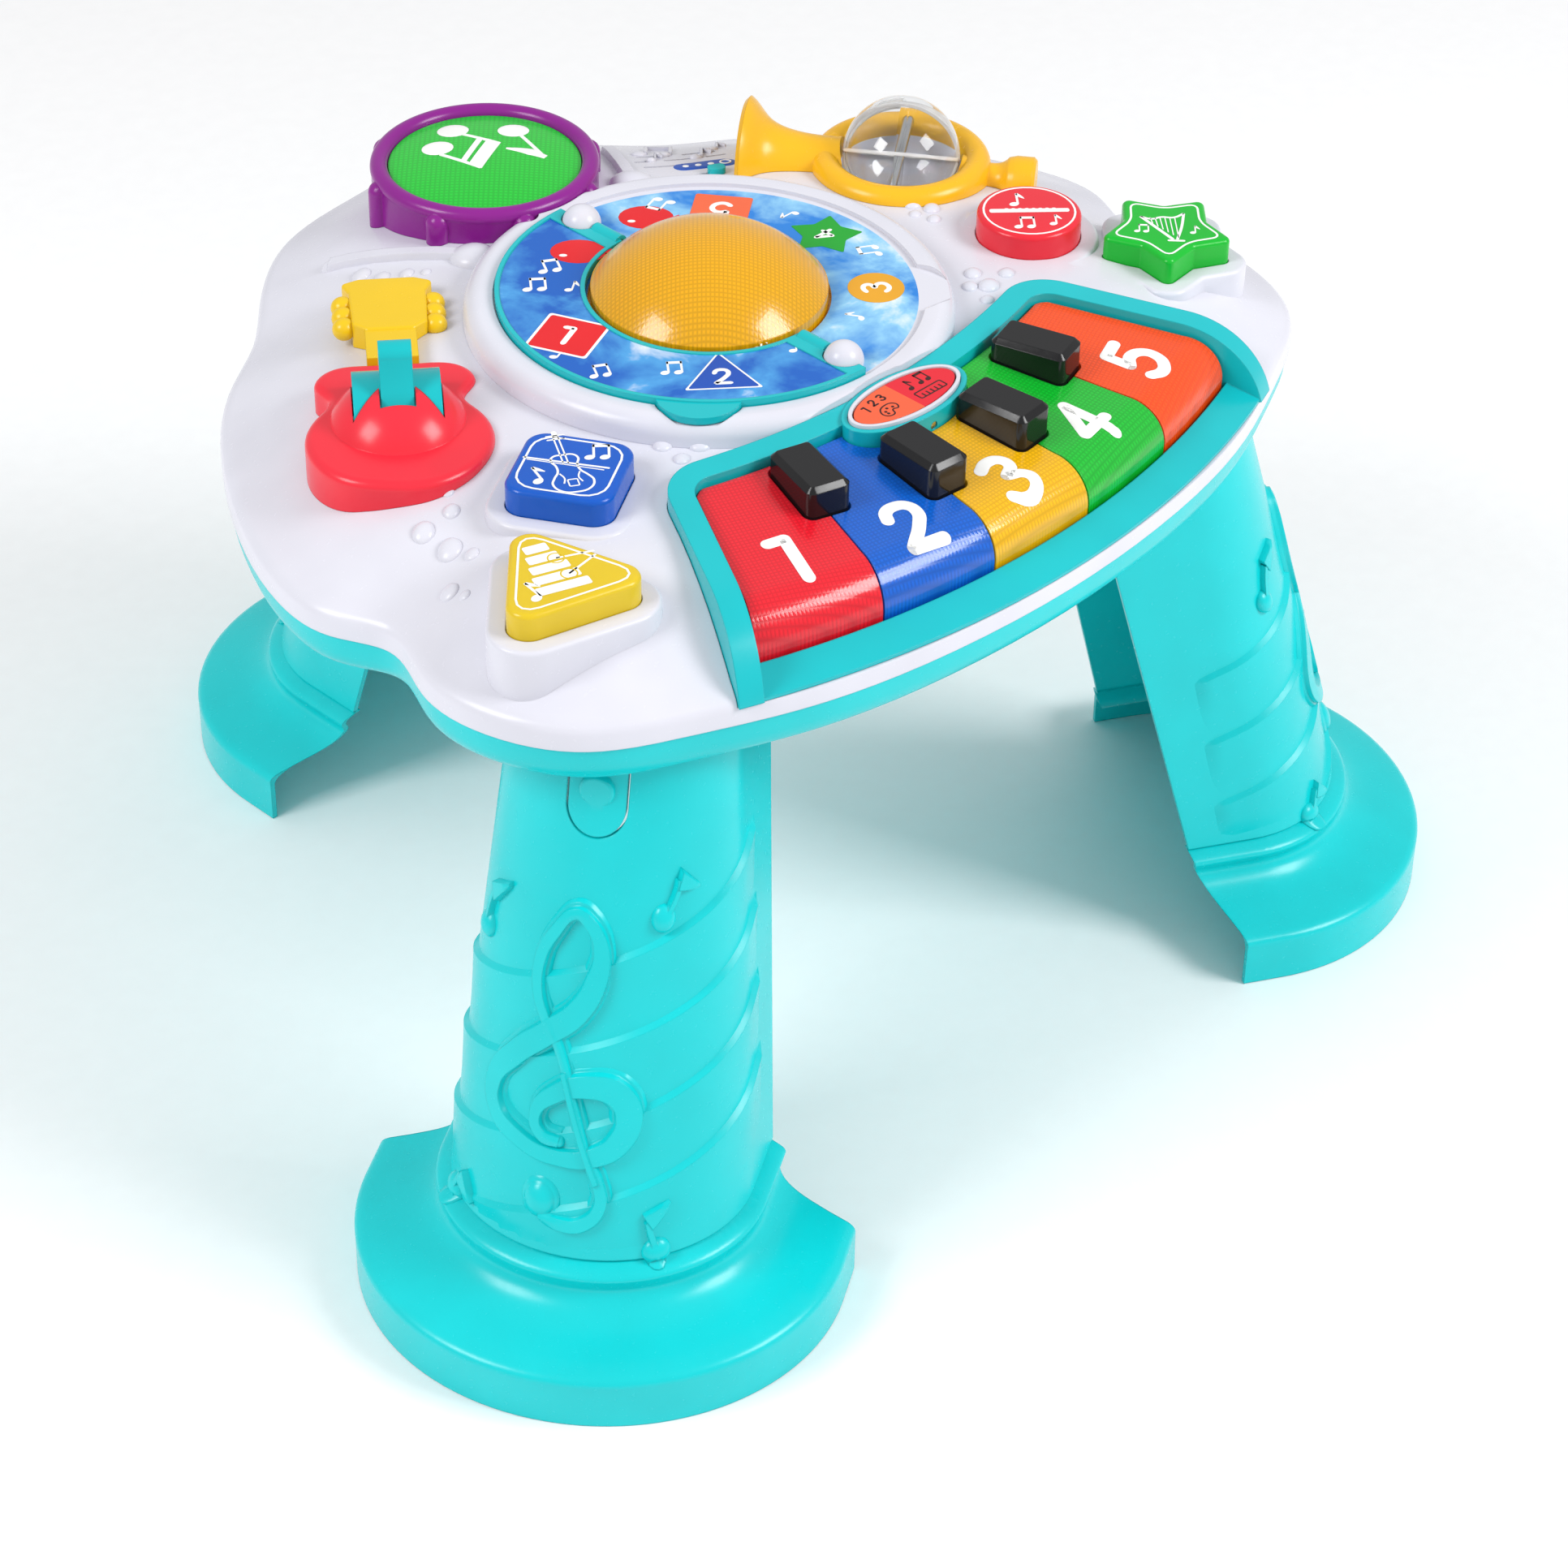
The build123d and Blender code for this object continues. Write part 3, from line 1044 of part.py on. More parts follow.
def leg_section(z, grow, open_shift=0.0, foot=0.0, drop=0.0):
    """One level section of a leg, with its curved front towards +X."""
    sizes = [body + (flared - body) * foot for body, flared in zip(leg_sizes(z), FOOT)]
    edge, middle, front, half = sizes[0] + open_shift, sizes[1], sizes[2] + grow, sizes[3] + grow
    lines = [
        Line((edge, half), (edge, -half)),
        Line((edge, -half), (middle, -half)),
        EllipticalCenterArc((middle, 0), front - middle, half, start_angle=-90, arc_size=180),
        Line((middle, half), (edge, half)),
    ]
    return Pos(0, 0, z - drop) * make_face(lines)


def leg_solid(thinner, open_shift):
    """A leg's solid form: straight shaft, rolled bead, flared bell and upright lip."""
    profile = [
        (LEG_LOW_Z + 11, 0.0, 0.0),
        (LEG_LOW_Z + 8, BEAD * 0.6, 0.0),
        (LEG_LOW_Z + 4, BEAD, 0.0),
        (LEG_LOW_Z, BEAD * 0.6, 0.0),
        (LEG_LOW_Z - 3, BEAD * 0.3, 0.04),
        (FOOT_LIP_Z + 9, 0.0, 0.24),
        (FOOT_LIP_Z + 5, 0.0, 0.52),
        (FOOT_LIP_Z + 2, 0.0, 0.82),
        (FOOT_LIP_Z, 0.0, 0.96),
        (FOOT_LIP_Z - 4, 0.0, 1.0),
    ]
    flare = [
        leg_section(z, bulge - thinner, open_shift, foot, thinner * foot) for z, bulge, foot in profile
    ]
    shaft = loft([flare[0], leg_section(LEG_TOP_Z + thinner, -thinner, open_shift)])
    lip_z = FOOT_LIP_Z - 4 - thinner
    lip = Pos(0, 0, -lip_z - thinner) * extrude(flare[-1], lip_z + thinner)
    return shaft + loft(flare) + lip


def latch_form(side_gap, top_gap):
    """The latch's outline seen from outside, as a prism through the leg's front wall."""
    half = LATCH_WIDTH / 2 + side_gap
    low = LATCH_TOP_Z - LATCH_HEIGHT + LATCH_WIDTH / 2
    return block((150, 330), (-half, half), (low, LATCH_TOP_Z + top_gap)) + rod(half, 180, (240, 0, low), 0)


LEG_SHELL = leg_solid(0, 0) - leg_solid(LEG_WALL, -40)


def make_leg():
    """One leg at angle 0: a half shell with a slot for its latch."""
    return LEG_SHELL - latch_form(LATCH_SLOT, FIT_GAP)


def make_latch():
    """The springy tongue of one leg, with its round button and the rolled root it flexes about."""
    button = rod(LATCH_BUTTON, 6, (leg_sizes(LATCH_BUTTON_Z)[2] - 1.0, 0, LATCH_BUTTON_Z), 0)
    button = fillet(button.edges().sort_by(Axis.X)[-1], 1.5)
    root_z = LATCH_TOP_Z - LATCH_ROOT
    root = rod(LATCH_ROOT, LATCH_WIDTH - 1, (leg_sizes(root_z)[2] - LEG_WALL - 0.5, 0, root_z), 90)
    return (LEG_SHELL & latch_form(0, 0)) + button + root


# ---------------------------------------------------------------- every node
save("deck_cover", make_deck_cover())
save("base_shell", make_base_shell())
LEG = make_leg()
LATCH = make_latch()
for side_name, leg_angle in LEG_ANGLES.items():
    save(f"leg_{side_name}", Rot(0, 0, leg_angle) * LEG)
    save(f"latch_{side_name}", Rot(0, 0, leg_angle) * LATCH)
save("keyboard_frame", make_keyboard_frame())
for color, key_turn in zip(("red", "blue", "yellow", "green", "orange"), key_turns()):
    save(f"key_{color}", make_key(key_turn))
save("key_pins", group([key_pin(turn) for turn in key_turns()]))
save("black_keys", make_black_keys())
save("mode_rim", make_mode_rim())
save("mode_switch", make_mode_switch())
save("mode_pin", make_mode_pin())
save("book_bezel", make_book_bezel())
save("page_flap", make_page())
save("hinge_knobs", make_hinge_knobs())
save("hinge_pins", make_hinge_pins())
save("light_dome", make_light_dome())
save("drum_shell", make_drum_shell())
save("drum_head", make_drum_head())
save("guitar_body", make_guitar_body())
save("strum_lever", make_strum_lever())
save("strum_axle", make_strum_axle())
save("guitar_headstock", make_headstock())
save("horn", make_horn())
save("roller_ball", make_roller_ball())
save("ball_axle", make_ball_axle())
for color in BUTTONS:
    save(f"button_{color}", make_button(color))
save("switch_boards", make_switch_boards())
save("tact_switches", make_tact_switches())
save("key_switches", make_key_switches())
save("circuit_board", make_circuit_board())
save("leds", make_leds())
save("speaker", make_speaker())
save("battery_box", make_battery_box())
save("batteries", make_batteries())
save("battery_contacts", make_battery_contacts())
save("battery_door", make_battery_door())
save("door_screw", make_door_screw())
save("case_screws", make_case_screws())
save("power_slider", make_slider())
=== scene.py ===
# %% [markdown]
# # Dressing a musical activity table
# The table is a moulded plastic toy: a white deck on a turquoise base with three broad legs.
# Its shapes come from a CAD model that never moves, and this lesson gives it its plastics, prints and
# raised ornaments. Every length below is in millimetres until it is turned to metres at the very end,
# because the toy's own drawings are in millimetres.

# %% Load the CAD model
import json
import math

import bmesh
import bpy
from mathutils import Matrix, Vector
from mathutils.bvhtree import BVHTree

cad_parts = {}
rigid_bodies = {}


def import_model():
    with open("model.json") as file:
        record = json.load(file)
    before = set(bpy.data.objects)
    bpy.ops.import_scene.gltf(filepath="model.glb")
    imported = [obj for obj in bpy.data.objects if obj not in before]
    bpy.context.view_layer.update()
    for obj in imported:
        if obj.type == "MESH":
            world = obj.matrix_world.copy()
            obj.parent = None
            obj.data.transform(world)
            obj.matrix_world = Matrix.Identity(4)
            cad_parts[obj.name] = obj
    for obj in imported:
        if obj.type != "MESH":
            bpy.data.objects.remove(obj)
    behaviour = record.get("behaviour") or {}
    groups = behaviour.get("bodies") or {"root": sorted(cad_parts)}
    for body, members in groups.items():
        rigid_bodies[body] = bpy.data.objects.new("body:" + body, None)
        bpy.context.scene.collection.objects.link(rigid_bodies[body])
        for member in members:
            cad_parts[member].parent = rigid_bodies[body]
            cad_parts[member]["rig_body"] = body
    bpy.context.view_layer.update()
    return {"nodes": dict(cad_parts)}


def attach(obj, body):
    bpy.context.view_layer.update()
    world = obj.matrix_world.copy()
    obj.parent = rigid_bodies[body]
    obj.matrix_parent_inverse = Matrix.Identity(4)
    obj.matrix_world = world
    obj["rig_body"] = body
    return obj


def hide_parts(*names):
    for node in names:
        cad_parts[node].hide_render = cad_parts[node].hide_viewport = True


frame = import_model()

# %% [markdown]
# ## Places on the table
# The toy was drawn round the axis that its three legs stand about. The stored model is centred on its
# footprint instead, so every place measured on the table moves by one fixed shift. Small turned parts,
# such as a key or a button, each have their own centre and turn, which a matrix keeps together.

# %% Units and places
MM = 0.001
FOOTPRINT_SHIFT = -61.85


def on_table(x, y, z, turn=0.0):
    """The place of a detail: table position in mm and its turn in plan, in degrees."""
    return Matrix.Translation((x, y + FOOTPRINT_SHIFT, z)) @ Matrix.Rotation(math.radians(turn), 4, "Z")


def cad_surface(node):
    """The surface of a CAD node, in mm, for laying reliefs on."""
    form = bmesh.new()
    form.from_mesh(frame["nodes"][node].data)
    bmesh.ops.scale(form, vec=(1 / MM,) * 3, verts=form.verts)
    surface = BVHTree.FromBMesh(form)
    form.free()
    return surface


print("table axis lies", FOOTPRINT_SHIFT, "mm from the footprint's centre")

# %% [markdown]
# ## Colours and shader nodes
# A colour is given as an sRGB hex value, and light is added up in linear values, so one function
# turns the first into the second. One small function adds a shader node with its settings and its links,
# which keeps each recipe short enough to read.

# %% Colour and node helpers
def linear(colour):
    """An sRGB hex colour as linear red, green, blue and alpha."""
    parts = [int(colour[i : i + 2], 16) / 255 for i in (1, 3, 5)]
    return [p / 12.92 if p <= 0.04045 else ((p + 0.055) / 1.055) ** 2.4 for p in parts] + [1.0]


def add_node(material, kind, inputs=(), **settings):
    """Adds a shader node. Inputs are pairs of a socket and its value, or another node's output."""
    node = material.node_tree.nodes.new(kind)
    for name, value in settings.items():
        setattr(node, name, value)
    for socket, value in dict(inputs).items():
        if isinstance(value, bpy.types.NodeSocket):
            material.node_tree.links.new(value, node.inputs[socket])
        else:
            node.inputs[socket].default_value = value
    return node


def find_node(material, kind):
    """The first shader node of a kind in a material."""
    return next(node for node in material.node_tree.nodes if node.type == kind)


def ramp_colours(ramp, stops, kind="LINEAR"):
    """Sets the stops of a colour ramp: pairs of a position and a hex colour."""
    ramp.color_ramp.interpolation = kind
    for element, (place, colour) in zip(ramp.color_ramp.elements, stops):
        element.position, element.color = place, linear(colour)
    for place, colour in stops[2:]:
        ramp.color_ramp.elements.new(place).color = linear(colour)


def shade(colour, factor):
    """A hex colour made lighter or darker by a factor."""
    parts = [min(255, max(0, round(int(colour[i : i + 2], 16) * factor))) for i in (1, 3, 5)]
    return "#" + "".join(f"{p:02X}" for p in parts)


print("turquoise in linear light:", [round(c, 3) for c in linear("#22C3C6")[:3]])

# %% [markdown]
# ## Injection-moulded ABS
# Most of the toy is ABS, moulded in a polished steel tool. The pellets are coloured through, so there is no
# coat, only a faint flow variation a few centimetres long. The surface is glossy with a very fine orange
# peel, and the tool's edges leave every corner with a radius of about half a millimetre. The Bevel node
# rounds the shading at edges, which is cheaper than rounding thousands of them in the mesh.

# %% Moulded plastic
FLOW_MM = 40.0
ABS_IOR = 1.52
ABS_SPECULAR = 0.36
PEEL_DEPTH_MM = 0.5


def moulded_plastic(name, colour, roughness=0.3, peel=0.015, peel_mm=3.0, edge_mm=0.8, **shader):
    """ABS or a like plastic: even colour, faint flow marks, fine orange peel and soft edges."""
    material = bpy.data.materials.new(name)
    material.use_nodes = True
    material.node_tree.nodes.clear()
    place = add_node(material, "ShaderNodeTexCoord").outputs["Object"]
    flow = add_node(
        material, "ShaderNodeTexNoise", {"Vector": place, "Scale": 1 / (FLOW_MM * MM), "Detail": 2.0}
    )
    tint = add_node(material, "ShaderNodeValToRGB", {"Fac": flow.outputs["Fac"]})
    ramp_colours(tint, [(0.3, shade(colour, 0.985)), (0.7, shade(colour, 1.015))])
    skin = add_node(
        material, "ShaderNodeTexNoise", {"Vector": place, "Scale": 1 / (peel_mm * MM), "Detail": 3.0}
    )
    gloss = add_node(
        material,
        "ShaderNodeMapRange",
        {"Value": skin.outputs["Fac"], "To Min": roughness - 0.04, "To Max": roughness + 0.04},
    )
    corner = add_node(material, "ShaderNodeBevel", {"Radius": edge_mm * MM}, samples=4)
    bump = add_node(
        material,
        "ShaderNodeBump",
        {"Height": skin.outputs["Fac"], "Normal": corner.outputs["Normal"], "Strength": peel,
         "Distance": PEEL_DEPTH_MM * MM},
    )
    surface = add_node(
        material,
        "ShaderNodeBsdfPrincipled",
        {
            "Base Color": tint.outputs["Color"],
            "Roughness": gloss.outputs["Result"],
            "Normal": bump.outputs["Normal"],
            "IOR": ABS_IOR,
            "Specular IOR Level": ABS_SPECULAR,
            **shader,
        },
    )
    add_node(material, "ShaderNodeOutputMaterial", {"Surface": surface.outputs["BSDF"]})
    return material


SOFT_GLOW = {"Subsurface Weight": 0.2, "Subsurface Radius": (0.004, 0.004, 0.004), "Subsurface Scale": 1.0}
white_abs = moulded_plastic("abs_white_moulded", "#DADAE4", 0.26)
teal_abs = moulded_plastic("abs_turquoise_moulded", "#06CDD1", 0.26)
rail_abs = moulded_plastic("abs_teal_rail", "#12B9C0", 0.24)
purple_abs = moulded_plastic("abs_purple_drum", "#8A1A8B", 0.24)
red_abs = moulded_plastic("abs_coral_red", "#EA2C3D", 0.24)
yellow_abs = moulded_plastic("abs_warm_yellow", "#F2B81E", 0.26)
lemon_abs = moulded_plastic("abs_lemon_yellow", "#EAC21A", 0.26)
black_abs = moulded_plastic("abs_black_gloss", "#161618", 0.14)
lever_abs = moulded_plastic("abs_teal_lever", "#0DB8BE", 0.18)
print("moulded plastics:", len(bpy.data.materials))

# %% [markdown]
# ## Clear plastics over lamps, with painted light
# The piano keys, the dome, the drum head and the buttons are coloured clear plastic with lamps below them. A
# tool with a fine grid of pyramids hides the lamps: seen close, the key tops look woven. A cell pattern in
# plan, with no randomness, gives square pyramids two millimetres apart, and its colour paints each tip lighter
# and the valleys darker, a painted highlight and painted shade. No lamp inside is lit, so the glow of the
# keys, the dome and the drum head is painted: a faint emission of their own colour.

# %% Textured clear plastic
PYRAMID_DEPTH_MM = 0.4


def pyramid_plastic(name, colour, turn=0.0, pitch_mm=2.0, depth=0.3, roughness=0.2, glow=0.06):
    """Coloured clear plastic with a grid of small pyramids moulded into its top, a painted highlight and
    painted shade on the pyramids, and a faint painted glow.
    """
    material = moulded_plastic(name, colour, roughness, **{"Coat Weight": 0.3, **SOFT_GLOW})
    place = add_node(material, "ShaderNodeTexCoord").outputs["Object"]
    turned = add_node(
        material, "ShaderNodeMapping", {"Vector": place, "Rotation": (0, 0, math.radians(-turn))}
    )
    cells = add_node(
        material,
        "ShaderNodeTexVoronoi",
        {"Vector": turned.outputs["Vector"], "Scale": 1 / (pitch_mm * MM), "Randomness": 0.0},
        voronoi_dimensions="2D",
        distance="CHEBYCHEV",
    )
    surface = find_node(material, "BSDF_PRINCIPLED")
    old_bump = find_node(material, "BUMP")
    bump = add_node(
        material,
        "ShaderNodeBump",
        {"Height": cells.outputs["Distance"], "Normal": old_bump.outputs["Normal"], "Strength": depth,
         "Distance": PYRAMID_DEPTH_MM * MM},
        invert=True,
    )
    material.node_tree.links.new(bump.outputs["Normal"], surface.inputs["Normal"])
    # Painted highlight and painted shade: each pyramid's tip is coloured lighter and the valleys between the
    # pyramids darker.
    tint = find_node(material, "VALTORGB")
    material.node_tree.links.new(cells.outputs["Distance"], tint.inputs["Fac"])
    ramp_colours(tint, [(0.1, shade(colour, 1.06)), (0.5, shade(colour, 0.9))])
    # Painted glow: a faint emission of the plastic's own colour, with no lamp lit behind it.
    surface.inputs["Emission Color"].default_value = linear(colour)
    surface.inputs["Emission Strength"].default_value = glow
    return material


KEY_TURNS = {"red": -22.4, "blue": -11.2, "yellow": 0.0, "green": 11.2, "orange": 22.4}
KEY_COLOURS = {
    "red": "#E01A2A", "blue": "#0A5CC2", "yellow": "#E6AE08", "green": "#0DB02C", "orange": "#F24C0C",
}
key_plastic = {
    key: pyramid_plastic(f"clear_{key}_key", KEY_COLOURS[key], turn) for key, turn in KEY_TURNS.items()
}
dome_plastic = pyramid_plastic("clear_amber_dome", "#E0A206", 45.0, 2.0, 0.2)
# The drum head's painted glow is stronger than that of the keys and the dome.
drum_plastic = pyramid_plastic("clear_green_drum_head", "#0CBC2C", 45.0, 2.4, glow=0.1)
button_plastic = {
    "blue": moulded_plastic("clear_blue_button", "#0A58C0", 0.2, **SOFT_GLOW),
    "yellow": moulded_plastic("clear_yellow_button", "#DDBE22", 0.24, **SOFT_GLOW),
    "red": moulded_plastic("clear_red_button", "#E62838", 0.22, **SOFT_GLOW),
    "green": moulded_plastic("clear_green_button", "#0CB42E", 0.22, **SOFT_GLOW),
}
print("lamp-lit plastics:", len(key_plastic) + len(button_plastic) + 2)

# %% [markdown]
# ## Clear, metal and inner materials
# The roller ball is a thin clear polystyrene shell. Light goes nearly straight through so thin a wall, so the
# index of refraction is set close to one and a clear coat brings back the gloss of its surface. Pins, contacts
# and screws are plated steel. Boards, lamps and cells are hidden by the case, but they have finishes as well.

# %% Clear plastic, steel and inner parts
clear_ps = moulded_plastic(
    "clear_polystyrene_ball", "#FBFCFD", 0.04, 0.0,
    **{"Transmission Weight": 1.0, "IOR": 1.02, "Coat Weight": 1.0, "Coat Roughness": 0.03},
)
frosted_ps = moulded_plastic("polystyrene_ball_rib", "#FFFFFF", 0.2, **{"Transmission Weight": 0.3})
steel = moulded_plastic("steel_plated_turned", "#C9CBCE", 0.25, 0.1, 0.6, 0.2, **{"Metallic": 1.0, "IOR": 1.5})
board_green = moulded_plastic("glass_epoxy_board", "#2E6B45", 0.45, 0.2, 0.8, 0.1)
silicone_grey = moulded_plastic("silicone_moulded", "#8C8E92", 0.6, 0.1, 0.8, 0.3)
lamp_clear = moulded_plastic("epoxy_lamp_clear", "#F6F1E4", 0.1, 0.01, **{"Transmission Weight": 0.6})
paper_black = moulded_plastic("paper_cone_black", "#26262A", 0.7, 0.3, 0.5, 0.2)
cell_wrap = moulded_plastic("shrink_film_cell", "#4A4F57", 0.3, 0.05, 1.0, 0.3)
print("materials so far:", len(bpy.data.materials))

# %% [markdown]
# ## Printed sky
# The book's picture sheet is a gloss-laminated print: blue sky with soft clouds, deeper at one side. A noise
# pattern that is stretched a little makes clouds about 40 mm across, and a ramp turns it from blue to white.
# The rocker of the mode switch has two colours that meet in a straight line, so its ramp has a hard stop.

# %% Laminated prints
BOOK_Y = 24.0
BOOK_MIDDLE = (0.0, (BOOK_Y + FOOTPRINT_SHIFT) * MM)
PRINT_REACH = 98.5
CLOUD_MM = 42.0


def sky_print(name, deep, pale, cover, around):
    """A round laminated print of a sky with clouds. Plastic of one colour shows around it."""
    material = moulded_plastic(name, deep, 0.22, 0.0, edge_mm=0.1)
    place = add_node(material, "ShaderNodeTexCoord").outputs["Object"]
    clouds = add_node(
        material,
        "ShaderNodeTexNoise",
        {"Vector": place, "Scale": 1 / (CLOUD_MM * MM), "Detail": 5.0, "Roughness": 0.55, "Distortion": 0.3},
    )
    tint = find_node(material, "VALTORGB")
    material.node_tree.links.new(clouds.outputs["Fac"], tint.inputs["Fac"])
    ramp_colours(tint, [(cover - 0.12, deep), (cover + 0.04, pale), (cover + 0.16, "#FFFFFF")])
    plan = add_node(
        material, "ShaderNodeVectorMath", {0: place, 1: (1.0, 1.0, 0.0)}, operation="MULTIPLY"
    )
    reach = add_node(
        material,
        "ShaderNodeVectorMath",
        {0: plan.outputs["Vector"], 1: (*BOOK_MIDDLE, 0.0)},
        operation="DISTANCE",
    )
    outside = add_node(
        material, "ShaderNodeMath", {0: reach.outputs["Value"], 1: PRINT_REACH * MM}, operation="GREATER_THAN"
    )
    surface = find_node(material, "BSDF_PRINCIPLED")
    both = add_node(
        material,
        "ShaderNodeMixRGB",
        {"Fac": outside.outputs["Value"], "Color1": tint.outputs["Color"], "Color2": linear(around)},
    )
    material.node_tree.links.new(both.outputs["Color"], surface.inputs["Base Color"])
    return material


def two_tone(name, left, right):
    """Plastic of two colours that meet on the table's centre line."""
    material = moulded_plastic(name, left, 0.2)
    place = add_node(material, "ShaderNodeTexCoord").outputs["Object"]
    across = add_node(material, "ShaderNodeSeparateXYZ", {"Vector": place})
    side = add_node(
        material, "ShaderNodeMapRange", {"Value": across.outputs["X"], "From Min": -0.05, "From Max": 0.05}
    )
    tint = find_node(material, "VALTORGB")
    material.node_tree.links.new(side.outputs["Result"], tint.inputs["Fac"])
    ramp_colours(tint, [(0.0, left), (0.5, right)], "CONSTANT")
    return material


sky_left = sky_print("print_sky_deep", "#0A5EBE", "#4AA0E0", 0.56, "#12B9C0")
sky_right = sky_print("print_sky_pale", "#2280D8", "#90CCF0", 0.52, "#DADAE4")
rocker = two_tone("clear_rocker_two_colours", "#F0603A", "#E01E30")
ink = {
    name: moulded_plastic(f"ink_{name}", colour, 0.35, 0.0, edge_mm=0.1)
    for name, colour in {
        "white": "#F6F6F4", "red": "#E0141E", "blue": "#0F4FB4", "yellow": "#E2A21E", "green": "#10A028",
        "orange": "#F0683E", "dark": "#3A1210", "lemon": "#DDBE22",
    }.items()
}
print("inks:", ", ".join(ink))

# %% [markdown]
# ## Smooth skins for the CAD shapes
# A CAD export is loose flat triangles. A copy is merged at its doubles, shaded smooth, and kept sharp only
# where two faces meet at more than a set angle, so that a gently curved deck has no visible creases. The
# copy stands for its node, and the node stays in the model for the physics.

# %% Skins
def skin(node, material, slot, crease=38.0):
    """A merged and smoothly shaded copy of a CAD node, which it stands for."""
    form = bmesh.new()
    form.from_mesh(frame["nodes"][node].data)
    bmesh.ops.remove_doubles(form, verts=form.verts, dist=0.000002)
    mesh = bpy.data.meshes.new(node + "_skin")
    form.to_mesh(mesh)
    form.free()
    if "custom_normal" in mesh.attributes:
        mesh.attributes.remove(mesh.attributes["custom_normal"])
    mesh.materials.clear()
    mesh.materials.append(material)
    mesh.shade_smooth()
    mesh.set_sharp_from_angle(angle=math.radians(crease))
    piece = bpy.data.objects.new(node + "_skin", mesh)
    bpy.context.scene.collection.objects.link(piece)
    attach(piece, frame["nodes"][node]["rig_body"])
    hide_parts(node)
    return piece


def paint_faces(piece, material, chosen):
    """Gives another material to the faces whose middle (mm) and normal are chosen."""
    mesh = piece.data
    mesh.materials.append(material)
    for face in mesh.polygons:
        if chosen(face.center / MM, face.normal):
            face.material_index = len(mesh.materials) - 1


SKINS = {
    "deck_cover": (white_abs, "white"), "base_shell": (teal_abs, "teal"), "keyboard_frame": (rail_abs, "teal"),
    "black_keys": (black_abs, "black"), "mode_rim": (white_abs, "white"), "mode_switch": (rocker, "orange"),
    "hinge_knobs": (white_abs, "white"), "light_dome": (dome_plastic, "clear_yellow"),
    "drum_shell": (purple_abs, "purple"), "drum_head": (drum_plastic, "clear_green"),
    "guitar_body": (red_abs, "red"), "guitar_headstock": (lemon_abs, "yellow"),
    "strum_lever": (lever_abs, "teal"), "horn": (yellow_abs, "yellow"), "roller_ball": (clear_ps, "clear"),
    "power_slider": (lever_abs, "teal"),
}
for key, plastic in key_plastic.items():
    SKINS[f"key_{key}"] = (plastic, f"key_{key}")
for button, plastic in button_plastic.items():
    SKINS[f"button_{button}"] = (plastic, button)
for side in ("front_left", "front_right", "back"):
    SKINS[f"leg_{side}"] = (teal_abs, "teal")
    SKINS[f"latch_{side}"] = (teal_abs, "teal")
skins = {node: skin(node, *finish) for node, finish in SKINS.items()}
print("skins:", len(skins), "with", sum(len(s.data.polygons) for s in skins.values()), "faces")

# %% [markdown]
# ## The book's page and floor
# The page is a teal moulding with a picture sheet glued into a shallow recess on each side, and the other
# half of the picture lies on the book's floor. The recesses are flat, so the print needs no piece of its
# own: the faces that lie at the recess's height and face the right way take the print's material.

# %% Prints in their recesses
PAGE_PRINT_Z = (372.0, 368.4)
FLOOR_PRINT_Z = 367.5
page = skin("page_flap", rail_abs, "page")
bezel = skin("book_bezel", white_abs, "white")
paint_faces(
    page, sky_left, lambda at, normal: abs(normal.z) > 0.9 and min(abs(at.z - z) for z in PAGE_PRINT_Z) < 0.08
)
paint_faces(bezel, sky_right, lambda at, normal: normal.z > 0.9 and abs(at.z - FLOOR_PRINT_Z) < 0.08)
printed = sum(f.material_index for f in page.data.polygons), sum(f.material_index for f in bezel.data.polygons)
print("printed faces on the page and on the floor:", printed)

# %% [markdown]
# ## Finishes for the inner nodes
# Pins, boards, lamps, the loudspeaker and the battery parts keep their CAD shapes. Each gets a procedural
# material in its own slots, because a single flat colour isn't a finish.

# %% Inner nodes
INNER = {
    steel: ("key_pins", "mode_pin", "hinge_pins", "strum_axle", "ball_axle", "door_screw", "case_screws",
            "battery_contacts"),
    board_green: ("switch_boards", "circuit_board"), silicone_grey: ("tact_switches", "key_switches"),
    lamp_clear: ("leds",), paper_black: ("speaker",), cell_wrap: ("batteries",),
    teal_abs: ("battery_box", "battery_door"),
}
for material, nodes in INNER.items():
    for name in nodes:
        mesh = frame["nodes"][name].data
        mesh.materials.clear()
        mesh.materials.append(material)
print("inner nodes finished:", sum(len(nodes) for nodes in INNER.values()))

# %% [markdown]
# ## Drawing kit for prints and reliefs
# Prints and reliefs are drawn flat, in millimetres, and then laid on the toy. A line is a curve with a round
# bevel whose top is cut flat; a filled shape is one face with its corners bevelled, extruded a little; a dot
# is a squashed ball. Each tool adds to one bmesh, so a whole drawing becomes one piece.

# %% Drawing kit
NO_MOVE = Matrix.Identity(4)


def press_in(form, mesh, place):
    """Adds a mesh to a drawing at a place, and removes the mesh."""
    mesh.transform(place)
    form.from_mesh(mesh)
    bpy.data.meshes.remove(mesh)


def dot(form, x, y, size, height=0.3, turn=0.0, place=NO_MOVE):
    """Adds a squashed ball: size is its length and width."""
    spot = Matrix.Translation((x, y, 0)) @ Matrix.Rotation(math.radians(turn), 4, "Z")
    spot @= Matrix.Diagonal((size[0] / 2, size[1] / 2, height, 1))
    bmesh.ops.create_uvsphere(form, u_segments=20, v_segments=10, radius=1.0, matrix=place @ spot)


